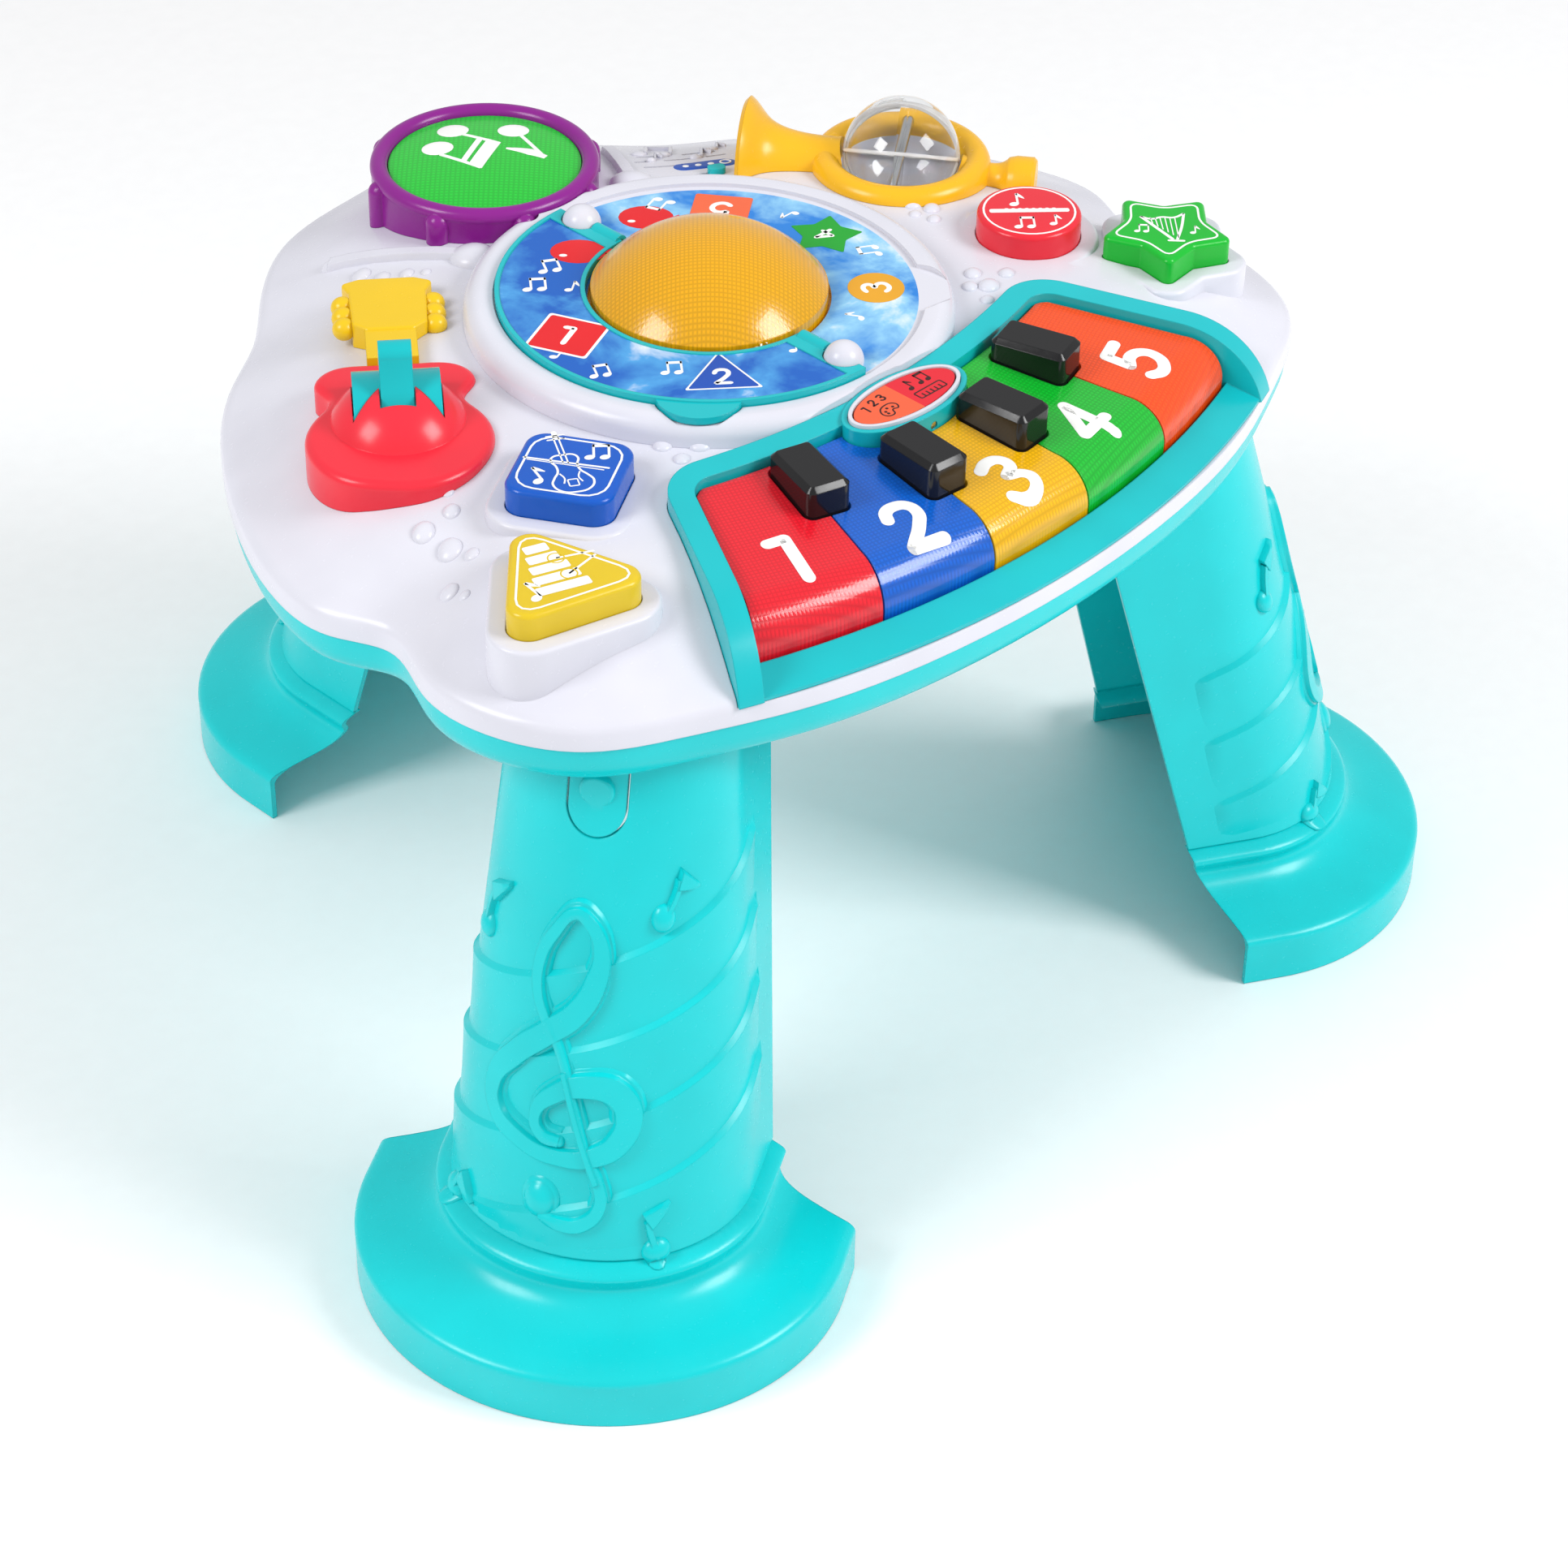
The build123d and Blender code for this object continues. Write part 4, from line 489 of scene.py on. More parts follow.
def stroke(form, points, width, height=0.12, closed=False, smooth=True, place=NO_MOVE, swell=()):
    """Adds a line through plan points, flat on top. Swell gives its width at each point, as a factor."""
    curve = bpy.data.curves.new("line", "CURVE")
    curve.dimensions = "3D"
    curve.bevel_depth, curve.bevel_resolution, curve.resolution_u = width / 2, 3, 6
    curve.use_fill_caps = True
    spline = curve.splines.new("BEZIER")
    spline.bezier_points.add(len(points) - 1)
    for index, (knot, point) in enumerate(zip(spline.bezier_points, points)):
        knot.co = (point[0], point[1], 0)
        knot.handle_left_type = knot.handle_right_type = "AUTO" if smooth else "VECTOR"
        knot.radius = swell[index] if swell else 1.0
    spline.use_cyclic_u = closed
    holder = bpy.data.objects.new("line", curve)
    mesh = bpy.data.meshes.new_from_object(holder)
    bpy.data.objects.remove(holder)
    bpy.data.curves.remove(curve)
    for vert in mesh.vertices:
        vert.co.z = max(-height, min(height, vert.co.z * 4 * height / width))
    press_in(form, mesh, place)


def pen(form, points, width, height=0.12, smooth=True, place=NO_MOVE):
    """Adds a line with round ends, and round corners where it isn't smooth."""
    runs = [points] if smooth else list(zip(points, points[1:]))
    for run in runs:
        stroke(form, run, width, height, smooth=smooth, place=place)
    for x, y in (points[0], points[-1]) if smooth else points:
        dot(form, x, y, (width, width), height, place=place)


def plate(form, corners, height=0.12, rounding=0.0, place=NO_MOVE):
    """Adds a filled shape with rounded corners as a thin plate."""
    made = bmesh.new()
    face = made.faces.new([made.verts.new((x, y, 0)) for x, y in corners])
    if rounding:
        bmesh.ops.bevel(
            made, geom=made.verts[:], offset=rounding, segments=5, profile=0.5, affect="VERTICES", material=-1
        )
        made.faces.ensure_lookup_table()
        face = made.faces[0]
    top = bmesh.ops.extrude_face_region(made, geom=[face])
    raised = [item for item in top["geom"] if isinstance(item, bmesh.types.BMVert)]
    bmesh.ops.translate(made, verts=raised, vec=(0, 0, height))
    bmesh.ops.recalc_face_normals(made, faces=made.faces)
    mesh = bpy.data.meshes.new("plate")
    made.to_mesh(mesh)
    made.free()
    press_in(form, mesh, place)


def rounded_line(form, corners, rounding, width, height=0.12, place=NO_MOVE):
    """Adds a closed line with rounded corners."""
    made = bmesh.new()
    made.faces.new([made.verts.new((x, y, 0)) for x, y in corners])
    bmesh.ops.bevel(
        made, geom=made.verts[:], offset=rounding, segments=4, profile=0.5, affect="VERTICES", material=-1
    )
    made.faces.ensure_lookup_table()
    points = [tuple(v.co.xy) for v in made.faces[0].verts]
    made.free()
    stroke(form, points, width, height, closed=True, smooth=False, place=place)


def ring_of(count, radius, start=90.0, inner=None):
    """Corners spaced evenly on a circle, or a star's when an inner radius is given."""
    total = count * (2 if inner else 1)
    radii = [inner if inner and index % 2 else radius for index in range(total)]
    turns = [math.radians(start + index * 360 / total) for index in range(total)]
    return [(r * math.cos(t), r * math.sin(t)) for r, t in zip(radii, turns)]


def box_of(half_x, half_y, y=0.0, x=0.0):
    """The corners of a rectangle round a middle point."""
    left, right, near, far = x - half_x, x + half_x, y - half_y, y + half_y
    return [(left, near), (right, near), (right, far), (left, far)]


DIGITS = {
    "1": [([(-0.22, 0.38), (0.03, 0.41), (0.03, -0.41)], False)],
    "2": [
        ([(-0.24, 0.2), (-0.17, 0.35), (0.0, 0.41), (0.18, 0.34), (0.22, 0.16), (0.1, -0.05),
          (-0.24, -0.4)], True),
        ([(-0.24, -0.4), (0.26, -0.4)], False),
    ],
    "3": [
        ([(-0.22, 0.33), (-0.02, 0.41), (0.17, 0.35), (0.2, 0.18), (0.0, 0.04)], True),
        ([(0.0, 0.04), (0.22, -0.07), (0.25, -0.24), (0.1, -0.39), (-0.1, -0.4), (-0.25, -0.29)], True),
    ],
    "4": [([(0.12, -0.41), (0.12, 0.41), (-0.26, -0.15), (0.28, -0.15)], False)],
    "5": [
        ([(0.2, 0.41), (-0.15, 0.41), (-0.19, 0.04)], False),
        ([(-0.19, 0.04), (0.04, 0.11), (0.22, 0.0), (0.24, -0.2), (0.08, -0.38), (-0.1, -0.4),
          (-0.25, -0.3)], True),
    ],
}
DIGIT_WIDTH = 0.19


def digit(form, text, size, height=0.12, place=NO_MOVE):
    """Adds a bold figure with round ends, size mm tall."""
    for points, smooth in DIGITS[text]:
        pen(form, [(x * size, y * size) for x, y in points], DIGIT_WIDTH * size, height, smooth, place)


def music_note(form, x, y, size, turn=0.0, pair=False, height=0.12, place=NO_MOVE):
    """Adds one quaver, or a beamed pair, size mm tall."""
    spot = place @ Matrix.Translation((x, y, 0)) @ Matrix.Rotation(math.radians(turn), 4, "Z")
    stems = (0.0, 0.62 * size) if pair else (0.0,)
    for stem in stems:
        dot(form, stem - 0.17 * size, -0.42 * size, (0.44 * size, 0.34 * size), height, 20, spot)
        stroke(form, [(stem, -0.42 * size), (stem, 0.5 * size)], 0.11 * size, height, smooth=False, place=spot)
    if pair:
        plate(form, box_of(0.36 * size, 0.1 * size, 0.41 * size, 0.31 * size), height, place=spot)
    else:
        flag = [(0, 0.48 * size), (0.16 * size, 0.26 * size), (0.32 * size, 0.06 * size)]
        stroke(form, flag, 0.15 * size, height, place=spot, swell=(1.2, 1.2, 0.4))


def finish_drawing(form, name, material, body, place=NO_MOVE):
    """Turns a drawing in mm into a piece in metres that rides on a body."""
    bmesh.ops.transform(form, matrix=Matrix.Scale(MM, 4) @ place, verts=form.verts)
    mesh = bpy.data.meshes.new(name)
    form.to_mesh(mesh)
    form.free()
    mesh.materials.append(material)
    mesh.shade_smooth()
    mesh.set_sharp_from_angle(angle=math.radians(40))
    piece = bpy.data.objects.new(name, mesh)
    bpy.context.scene.collection.objects.link(piece)
    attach(piece, body)
    return piece


ABOVE_ALL = 450.0
NEAR_TOP = 355.0


def lay_down(form, surface, lift=0.0, longest=6.0):
    """Drops a drawing onto a surface, keeping each point's height above it. Over a hole it follows the rim."""
    for _ in range(3):
        long_edges = [edge for edge in form.edges if edge.calc_length() > longest]
        bmesh.ops.subdivide_edges(form, edges=long_edges, cuts=1)
    for vert in form.verts:
        hit = surface.ray_cast(Vector((vert.co.x, vert.co.y, ABOVE_ALL)), Vector((0, 0, -1)))[0]
        hit = hit or surface.find_nearest(Vector((vert.co.x, vert.co.y, NEAR_TOP)))[0]
        vert.co.z = hit.z + vert.co.z + lift


print("drawing kit ready")

# %% [markdown]
# ## Figures on the piano keys
# Each key carries its number, pad-printed in white across the key, upright for the child at the piano. The
# keys fan out round one point, so each figure turns with its key. A ray cast down from above lays it on the
# key's own top, because the key tops slope towards the player.

# %% Key figures
FAN_Y = 137.0
FIGURE_AT = 302.5
FIGURE_SIZE = 33.0
for number, (key, turn) in enumerate(KEY_TURNS.items(), 1):
    figure = bmesh.new()
    digit(figure, str(number), FIGURE_SIZE, 0.15)
    direction = math.radians(turn - 90)
    spot = on_table(FIGURE_AT * math.cos(direction), FAN_Y + FIGURE_AT * math.sin(direction), 0, turn)
    bmesh.ops.transform(figure, matrix=spot, verts=figure.verts)
    lay_down(figure, cad_surface(f"key_{key}"), 0.05)
    finish_drawing(figure, f"figure_{number}", ink["white"], f"key_{key}")
print("figures on the keys: 5")

# %% [markdown]
# ## Buttons
# Each button has a thin white border that follows its own outline and a white line drawing of an instrument,
# pad-printed on its flat top. The drawings here are plain ones: a fiddle, bars to strike, a flute and a harp.
# A drawing is turned so that it reads upright, and its border is turned back to the button's own outline.

# %% Button borders
BUTTONS = {
    "blue": {"at": (-150.0, -38.0, 370.0), "outline": 30.5, "upright": -31.0},
    "yellow": {"at": (-207.5, -92.0, 367.5), "outline": 75.0, "upright": -20.0},
    "red": {"at": (164.0, -32.0, 369.5), "outline": 0.0, "upright": -43.0},
    "green": {"at": (203.0, -86.0, 367.0), "outline": 79.0, "upright": -48.0},
}
INK_LIFT = 0.02
BORDER = 1.1


def start_button(button, corners, rounding):
    """A new drawing for a button, with its border."""
    drawing = bmesh.new()
    back = Matrix.Rotation(math.radians(BUTTONS[button]["outline"] - BUTTONS[button]["upright"]), 4, "Z")
    rounded_line(drawing, corners, rounding, BORDER, place=back)
    return drawing


def finish_button(drawing, button, name, colour="white", lift=INK_LIFT):
    """Prints a drawing on a button's flat top."""
    x, y, z = BUTTONS[button]["at"]
    spot = on_table(x, y, z + lift, BUTTONS[button]["upright"])
    finish_drawing(drawing, name, ink[colour], f"button_{button}", spot)


print("borders follow the outlines", BORDER, "mm wide")

# %% Fiddle on the blue button
mark = start_button("blue", ring_of(4, 29.5, 45), 10.0)
FIDDLE_X = -1.0
half_body = [(0, 9.5), (4.5, 9), (6.2, 6), (4.8, 1), (5.2, -4), (7.5, -8), (9.2, -13), (6, -19), (0, -20.5)]
outline = half_body + [(-x, y) for x, y in reversed(half_body[1:-1])]
fiddle = Matrix.Translation((FIDDLE_X, 0, 0))
stroke(mark, outline, 1.1, closed=True, place=fiddle)
for x in (-1.1, 1.1):
    stroke(mark, [(x, 25), (x, 2)], 0.8, smooth=False, place=fiddle)
pen(mark, [(0, 28), (0, 24)], 2.6, place=fiddle)
for y in (22.5, 25.5):
    pen(mark, [(-4, y), (4, y)], 0.9, smooth=False, place=fiddle)
for side in (-1, 1):
    stroke(mark, [(side * 4.5, -5), (side * 3.2, -9), (side * 4.2, -13)], 0.8, place=fiddle)
rounded_line(mark, box_of(2.2, 2.6, -13), 0.6, 0.7, place=fiddle)
pen(mark, [(-18, 12), (16.5, -5.5)], 1.2, smooth=False)
pen(mark, [(-17, 10), (14, -6.5)], 0.6, smooth=False)
music_note(mark, -15, -3, 12, 12)
music_note(mark, 13, 9, 11, -12, pair=True)
finish_button(mark, "blue", "fiddle_print")
print("fiddle drawn")

# %% Bars on the yellow button
mark = start_button("yellow", ring_of(3, 36.0, 0), 12.0)
BAR_TOPS = [21.0 - 7.6 * bar for bar in range(5)]
for bar, y in enumerate(BAR_TOPS):
    plate(mark, box_of(5.6 + 1.7 * bar, 2.9, y, -2.0), rounding=1.0)
HEADS = ((3.2, 11.0), (3.7, -2.0))
for head, end in zip(HEADS, ((20.0, 9.5), (19.5, 6.5))):
    pen(mark, [head, end], 1.2, smooth=False)
music_note(mark, -15, -7, 13, 12)
finish_button(mark, "yellow", "bars_print")
mark = bmesh.new()
for x, y in HEADS:
    stroke(mark, ring_of(16, 3.6), 0.8, closed=True, place=Matrix.Translation((x, y, 0)))
finish_button(mark, "yellow", "bars_mallet_rings", "lemon", 0.08)
print("bars drawn")

# %% Flute on the red button
mark = start_button("red", ring_of(36, 22.3), 0.5)
plate(mark, box_of(19.5, 1.7), rounding=1.2)
for key in range(8):
    dot(mark, -11 + key * 3.3, 1.2, (2.6, 2.6), 0.12)
music_note(mark, -5, 11, 11)
music_note(mark, -5, -11, 10, pair=True)
music_note(mark, 12, -9, 9)
finish_button(mark, "red", "flute_print")
print("flute drawn")

# %% Harp on the green button
mark = start_button("green", ring_of(5, 27.6, 0, 17.4), 4.5)
stroke(mark, [(-12, 9), (-7, 7), (-2, 9), (4, 9), (9, 13)], 1.4)
stroke(mark, [(9, 13), (7.5, 0), (5, -12)], 1.4)
stroke(mark, [(-12, 9), (3, -12)], 1.8, smooth=False)
pen(mark, [(1, -13), (8, -13)], 1.6, smooth=False)
for string in range(6):
    x = -7.5 + string * 2.4
    stroke(mark, [(x, 8.2), (x + 1.2, 2.5 - 2.6 * string)], 0.6, smooth=False)
music_note(mark, -13, -2, 7, pair=True)
music_note(mark, 14, -2, 7)
finish_button(mark, "green", "harp_print")
print("harp drawn")

# %% [markdown]
# ## The book's shapes and numbers
# The picture teaches five numbers, each on its own plain shape: a red square, a blue triangle, a yellow disc,
# a green star and an orange square. The two on the page have a white edge. Balloons and music notes fill the
# sky between them. The shapes are thin plates stacked one on another.

# %% Book pictures
PRINT_RADIUS = 79.0
PAGE_TOP, FLOOR_TOP = 372.02, 367.52
PAGE_PRINT = ("page", PAGE_TOP)
FLOOR_PRINT = ("table", FLOOR_TOP)


def book_spot(angle, radius, z, turn):
    """A place on the book, by angle and distance from its middle."""
    a = math.radians(angle)
    middle = on_table(0, BOOK_Y, z)
    out = Matrix.Translation((radius * math.cos(a), radius * math.sin(a), 0))
    return middle @ out @ Matrix.Rotation(math.radians(turn), 4, "Z")


def numbered_shape(number, corners, rounding, colour, figure, angle, turn, where):
    """One plain shape with its figure, and a white edge if it is on the page."""
    body, z = where
    spot = book_spot(angle, PRINT_RADIUS, z, turn)
    if where == PAGE_PRINT:
        edge = bmesh.new()
        plate(edge, [(x * 1.1, y * 1.1) for x, y in corners], 0.06, rounding)
        finish_drawing(edge, f"shape_{number}_edge", ink["white"], body, spot)
    middle = bmesh.new()
    plate(middle, corners, 0.12, rounding)
    finish_drawing(middle, f"shape_{number}", ink[colour], body, spot)
    label = bmesh.new()
    digit(label, str(number), figure, 0.18)
    finish_drawing(label, f"shape_{number}_figure", ink["white"], body, spot)


numbered_shape(1, ring_of(4, 20.0, 45), 1.5, "red", 17.0, 169.0, -67.0, PAGE_PRINT)
numbered_shape(2, ring_of(3, 19.0, 90), 1.5, "blue", 14.0, 229.0, -40.0, PAGE_PRINT)
numbered_shape(3, ring_of(36, 13.5), 0.0, "yellow", 15.0, 320.0, 50.0, FLOOR_PRINT)
numbered_shape(4, ring_of(5, 18.5, 90, 11.0), 1.0, "green", 12.5, 0.0, 90.0, FLOOR_PRINT)
numbered_shape(5, ring_of(4, 20.0, 45), 1.5, "orange", 17.0, 41.0, 126.0, FLOOR_PRINT)

notes = bmesh.new()
PAGE_NOTES = [
    (122, 80, -30, True, 11), (134, 84, -40, True, 11), (135, 64, -55, False, 9), (176, 91, -70, False, 9),
    (190, 91, -30, True, 10), (250, 56, -45, False, 9), (262, 66, -45, False, 9), (210, 74, -40, True, 10),
]
for angle, radius, turn, pair, size in PAGE_NOTES:
    music_note(notes, 0, 0, size, 0, pair, 0.1, book_spot(angle, radius, PAGE_TOP, turn))
finish_drawing(notes, "page_notes", ink["white"], "page")
notes = bmesh.new()
FLOOR_NOTES = [
    (60, 86, 110, True, 11), (18, 84, 90, False, 9), (342, 86, 60, True, 10), (300, 70, 30, False, 9),
]
for angle, radius, turn, pair, size in FLOOR_NOTES:
    music_note(notes, 0, 0, size, 0, pair, 0.1, book_spot(angle, radius, FLOOR_TOP, turn))
finish_drawing(notes, "floor_notes", ink["white"], "table")
for body, angle, radius, z in (("page", 108.0, 70.0, PAGE_TOP), ("table", 68.0, 78.0, FLOOR_TOP)):
    balloon = bmesh.new()
    spot = book_spot(angle, radius, z, -46.0)
    dot(balloon, 0, 0, (27, 22), 0.15, place=spot)
    plate(balloon, [(12, 0), (16, 3), (16, -3)], 0.12, 0.5, spot)
    finish_drawing(balloon, f"{body}_balloon", ink["red"], body)
    shine = bmesh.new()
    dot(shine, -7, -4, (4, 2.6), 0.06, place=spot @ Matrix.Translation((0, 0, 0.13)))
    finish_drawing(shine, f"{body}_balloon_shine", ink["white"], body)
print("book shapes: 5, balloons: 2")

# %% [markdown]
# ## Drum head and mode switch prints
# The drum head shows a beamed pair and a single note in white, placed on the table's own measures. They
# follow the crowned head, so they are laid down on it like the key figures. The mode switch has small dark
# pictures: numbers over a palette on its orange half and notes over a piano on its red half.

# %% Drum and mode prints
drum_notes = bmesh.new()
for x, y in ((-2.5, 211.0), (15.5, 219.5), (37.0, 198.5)):
    dot(drum_notes, x, y, (16, 14), 0.25, -30)
for points in ([(-6, 205), (-1, 181)], [(16, 213), (22, 193)], [(36, 192), (30, 170)]):
    stroke(drum_notes, points, 2.2, 0.25, smooth=False)
plate(drum_notes, [(-1.5, 180), (23, 192.5), (21, 200), (-2.5, 188)], 0.25)
plate(drum_notes, [(-2.8, 190), (20.2, 202), (19.4, 205), (-3.4, 193)], 0.25)
stroke(drum_notes, [(30, 167.5), (27.5, 176), (21, 186.5)], 4.0, 0.25, swell=(0.9, 1.6, 0.4))
bmesh.ops.transform(drum_notes, matrix=on_table(0, 0, 0), verts=drum_notes.verts)
lay_down(drum_notes, cad_surface("drum_head"), 0.05)
finish_drawing(drum_notes, "drum_notes", ink["white"], "drum_head")

MODE_AT, MODE_TOP = (0.0, -101.0), 368.12
marks = bmesh.new()
for text, x, y in (("1", -21, 4), ("2", -15, 6), ("3", -9, 6.5)):
    digit(marks, text, 5.5, 0.1, Matrix.Translation((x, y, 0)))
palette = [(-18, -2), (-13, 0.8), (-8, -1), (-9, -4.5), (-12, -4), (-14, -7), (-18, -6)]
stroke(marks, palette, 0.8, 0.1, closed=True)
for x, y in ((-16, -3.2), (-13.6, -1.6), (-10.6, -2.4), (-16, -5)):
    dot(marks, x, y, (1.6, 1.6), 0.1)
music_note(marks, 8, 5, 7.5, height=0.1)
music_note(marks, 15, 5.5, 7.5, pair=True, height=0.1)
rounded_line(marks, box_of(8.5, 2.6, -4.6, 12.5), 0.8, 0.8, 0.1)
for key in range(5):
    stroke(marks, [(7 + 2.75 * key, -6.8), (7 + 2.75 * key, -4.2)], 0.9, 0.1, smooth=False)
finish_drawing(marks, "mode_marks", ink["dark"], "mode_switch", on_table(*MODE_AT, MODE_TOP))
print("drum and mode prints done")

# %% [markdown]
# ## The ball's ribs and its socket
# The clear ball has three moulded ribs that meet at the ends of its axle, and it turns in a white socket, so
# the lower half of the ball looks white. The socket is a shell a little larger than the ball.

# %% Ball ribs and socket
BALL_AT = (171.0, 59.0, 361.0)
BALL_RADIUS = 29.5
HORN_TURN = -54.5
RIB_WIDTH, RIB_HEIGHT = 2.2, 0.9
SOCKET_RADIUS = 31.5
SOCKET_TOP = -5.0
ribs = bmesh.new()
for rib in range(3):
    stand = Matrix.Rotation(math.radians(HORN_TURN), 4, "Z")
    stand @= Matrix.Rotation(math.radians(30 + 60 * rib), 4, "X")
    stroke(ribs, ring_of(32, BALL_RADIUS - RIB_WIDTH / 2), RIB_WIDTH, RIB_HEIGHT, closed=True, place=stand)
finish_drawing(ribs, "ball_ribs", frosted_ps, "roller_ball", on_table(*BALL_AT))
socket = bmesh.new()
bmesh.ops.create_uvsphere(socket, u_segments=48, v_segments=32, radius=SOCKET_RADIUS)
upper = [vert for vert in socket.verts if vert.co.z > SOCKET_TOP]
bmesh.ops.delete(socket, geom=upper, context="VERTS")
bmesh.ops.solidify(socket, geom=socket.faces[:], thickness=-1.0)
finish_drawing(socket, "ball_socket", white_abs, "table", on_table(*BALL_AT))
print("ball ribs: 3, socket radius", SOCKET_RADIUS, "mm")

# %% [markdown]
# ## Reliefs on the deck
# Drumsticks, small drops and notes are moulded into the white deck as low reliefs. They are drawn in plan
# and laid on the curved deck, so each keeps the same height above it. A stadium-shaped badge near the
# loudspeaker marks the sound slider, printed in blue with plain dots and a ring.

# %% Deck reliefs
deck = cad_surface("deck_cover")
relief = bmesh.new()
for start, ball in (((-84, 201), (-44, 140)), ((86, 182), (61, 138))):
    pen(relief, [start, ball], 7.5, 4.0, smooth=False)
    dot(relief, ball[0], ball[1], (24, 21), 6.5, -55)
DROPS = [
    (-84, 177, 11), (-81, 165, 9), (-73, 156, 8), (-67, 149, 6), (-208, -5, 12), (-207, -21, 13),
    (-204, -32, 8), (-224, -39, 10), (-192, -6, 9), (-185, 4, 7), (-223, -48, 6), (-95, -41, 11),
    (-97, -55, 9), (-82, -52, 14), (-74, -55, 8), (116, -39, 10), (113, -52, 12), (106, -46, 9),
    (103, -60, 8), (128, -50, 9), (145, 27, 12), (148, 17, 10), (141, 9, 8), (138, 19, 7),
]
for x, y, size in DROPS:
    dot(relief, x, y, (size, 0.85 * size), 0.26 * size, 30)
DECK_NOTES = [(104, 173, 20, True), (118, 147, 16, False), (134, 152, 14, False), (96, 158, 12, False)]
for x, y, size, pair in DECK_NOTES:
    music_note(relief, x, y, size, -45, pair, 2.0)
bmesh.ops.transform(relief, matrix=on_table(0, 0, 0), verts=relief.verts)
lay_down(relief, deck, -0.2)
finish_drawing(relief, "deck_reliefs", white_abs, "table")

BADGE_AT, BADGE_TURN = (105.5, 132.0), -31.0
badge = bmesh.new()
pen(badge, [(-11, 0), (11, 0)], 10.5, 0.5, smooth=False)
bmesh.ops.transform(badge, matrix=on_table(*BADGE_AT, 0, BADGE_TURN), verts=badge.verts)
lay_down(badge, deck)
finish_drawing(badge, "slider_badge", ink["blue"], "table")
dots = bmesh.new()
stroke(dots, ring_of(12, 2.6), 1.0, 0.3, closed=True, place=Matrix.Translation((10.5, 0, 0)))
for x in (-10, -3.5, 3):
    dot(dots, x, 0, (3.4, 3.4), 0.3)
bmesh.ops.transform(dots, matrix=on_table(*BADGE_AT, 0, BADGE_TURN), verts=dots.verts)
lay_down(dots, deck, 0.5)
finish_drawing(dots, "slider_badge_marks", ink["white"], "table")
print("deck reliefs laid, with", len(DROPS), "drops")

# %% [markdown]
# ## Reliefs on the legs
# Each leg has a treble clef, four notes and shallow steps that climb round the shaft like ribbon. In these
# drawings x is the arc round the leg's middle line and y the height. A ray from outside towards that line
# finds the leg's wall, and each point keeps its height above the wall. One set is made on the front left
# leg and turned about the table's axis for the other two, as the mould maker would.

# %% Leg walls
LEG_ANGLES = {"front_left": -150.0, "front_right": -30.0, "back": 90.0}
LEG_MIDDLE = {46.0: 256.0, 291.0: 205.0}
ARC = 1.3
OUTSIDE_LEG = 150.0
leg_wall = cad_surface("leg_front_left")


def middle_of_leg(z):
    """Distance of the leg's middle line from the table's axis at a height."""
    (low, far), (high, near) = LEG_MIDDLE.items()
    return far + (near - far) * (z - low) / (high - low)


def wrap_on_leg(form):
    """Lays a drawing of arc and height on the front left leg's outer wall."""
    outward = math.radians(LEG_ANGLES["front_left"])
    for vert in form.verts:
        arc, z, height = vert.co
        reach = middle_of_leg(z)
        centre = Vector((reach * math.cos(outward), reach * math.sin(outward) + FOOTPRINT_SHIFT, z))
        turn = outward + math.radians(arc / ARC)
        aim = Vector((math.cos(turn), math.sin(turn), 0))
        hit = leg_wall.ray_cast(centre + aim * OUTSIDE_LEG, -aim)[0]
        if hit:
            vert.co = hit + aim * height


print("one degree of the leg's wall is", ARC, "mm of arc")

# %% Ribbon steps
STEP_PITCH, STEP_SLOPE, STEP_FIRST = 38.0, 0.37, 83.0
STEP_HEIGHT = 2.4
STEP_ROWS = 10
STEPS = 4
RIBBON_SPAN = 210.0
BEAD_TOP = 56.0
ribbon = bmesh.new()
bmesh.ops.create_grid(ribbon, x_segments=70, y_segments=STEPS * STEP_ROWS, size=0.5)
for vert in ribbon.verts:
    turn = vert.co.x * RIBBON_SPAN
    row = round((vert.co.y + 0.5) * STEPS * STEP_ROWS)
    step, part = divmod(row, STEP_ROWS)
    rise = min(1.0, part / (STEP_ROWS - 1))
    z = STEP_FIRST - STEP_PITCH + STEP_PITCH * (step + 0.95 * rise) + STEP_SLOPE * turn
    fade = min(1.0, (RIBBON_SPAN / 2 - abs(turn)) / 6) * max(0.0, min(1.0, (z - BEAD_TOP - 4) / 8))
    height = STEP_HEIGHT * rise**1.5 if part else 0.0
    vert.co = (turn * ARC, z, (height + 0.15) * fade - 0.2)
bmesh.ops.delete(ribbon, geom=[vert for vert in ribbon.verts if vert.co.y < BEAD_TOP], context="VERTS")
wrap_on_leg(ribbon)
print("ribbon steps:", STEPS, "of", STEP_HEIGHT, "mm")

# %% Treble clef and notes
CLEF = [
    (-5, 114, 0.7), (-13, 116, 0.8), (-16, 125, 0.9), (-8, 137, 1.2), (5, 143, 1.5), (18, 140, 1.8),
    (23, 129, 2.0), (19, 117, 1.7), (10, 110, 1.3), (-5, 107, 1.0), (-22, 110, 1.1), (-36, 119, 1.3),
    (-38, 131, 1.5), (-28, 149, 1.6), (-14, 164, 1.6), (-1, 177, 1.7), (6, 191, 1.7), (8, 207, 1.3),
    (2, 219, 0.9), (-5, 222, 0.7), (-14, 212, 0.9), (-20, 198, 1.0), (-20, 183, 0.9), (-15, 170, 0.8),
    (-8, 158, 0.7), (0, 132, 0.7), (6, 111, 0.7), (12, 96, 0.8), (13, 86, 0.9), (7, 77, 0.9), (-3, 75, 0.8),
    (-11, 77, 0.6),
]
CLEF_LAYERS = ((4.5, 2.0), (0.0, 4.6))
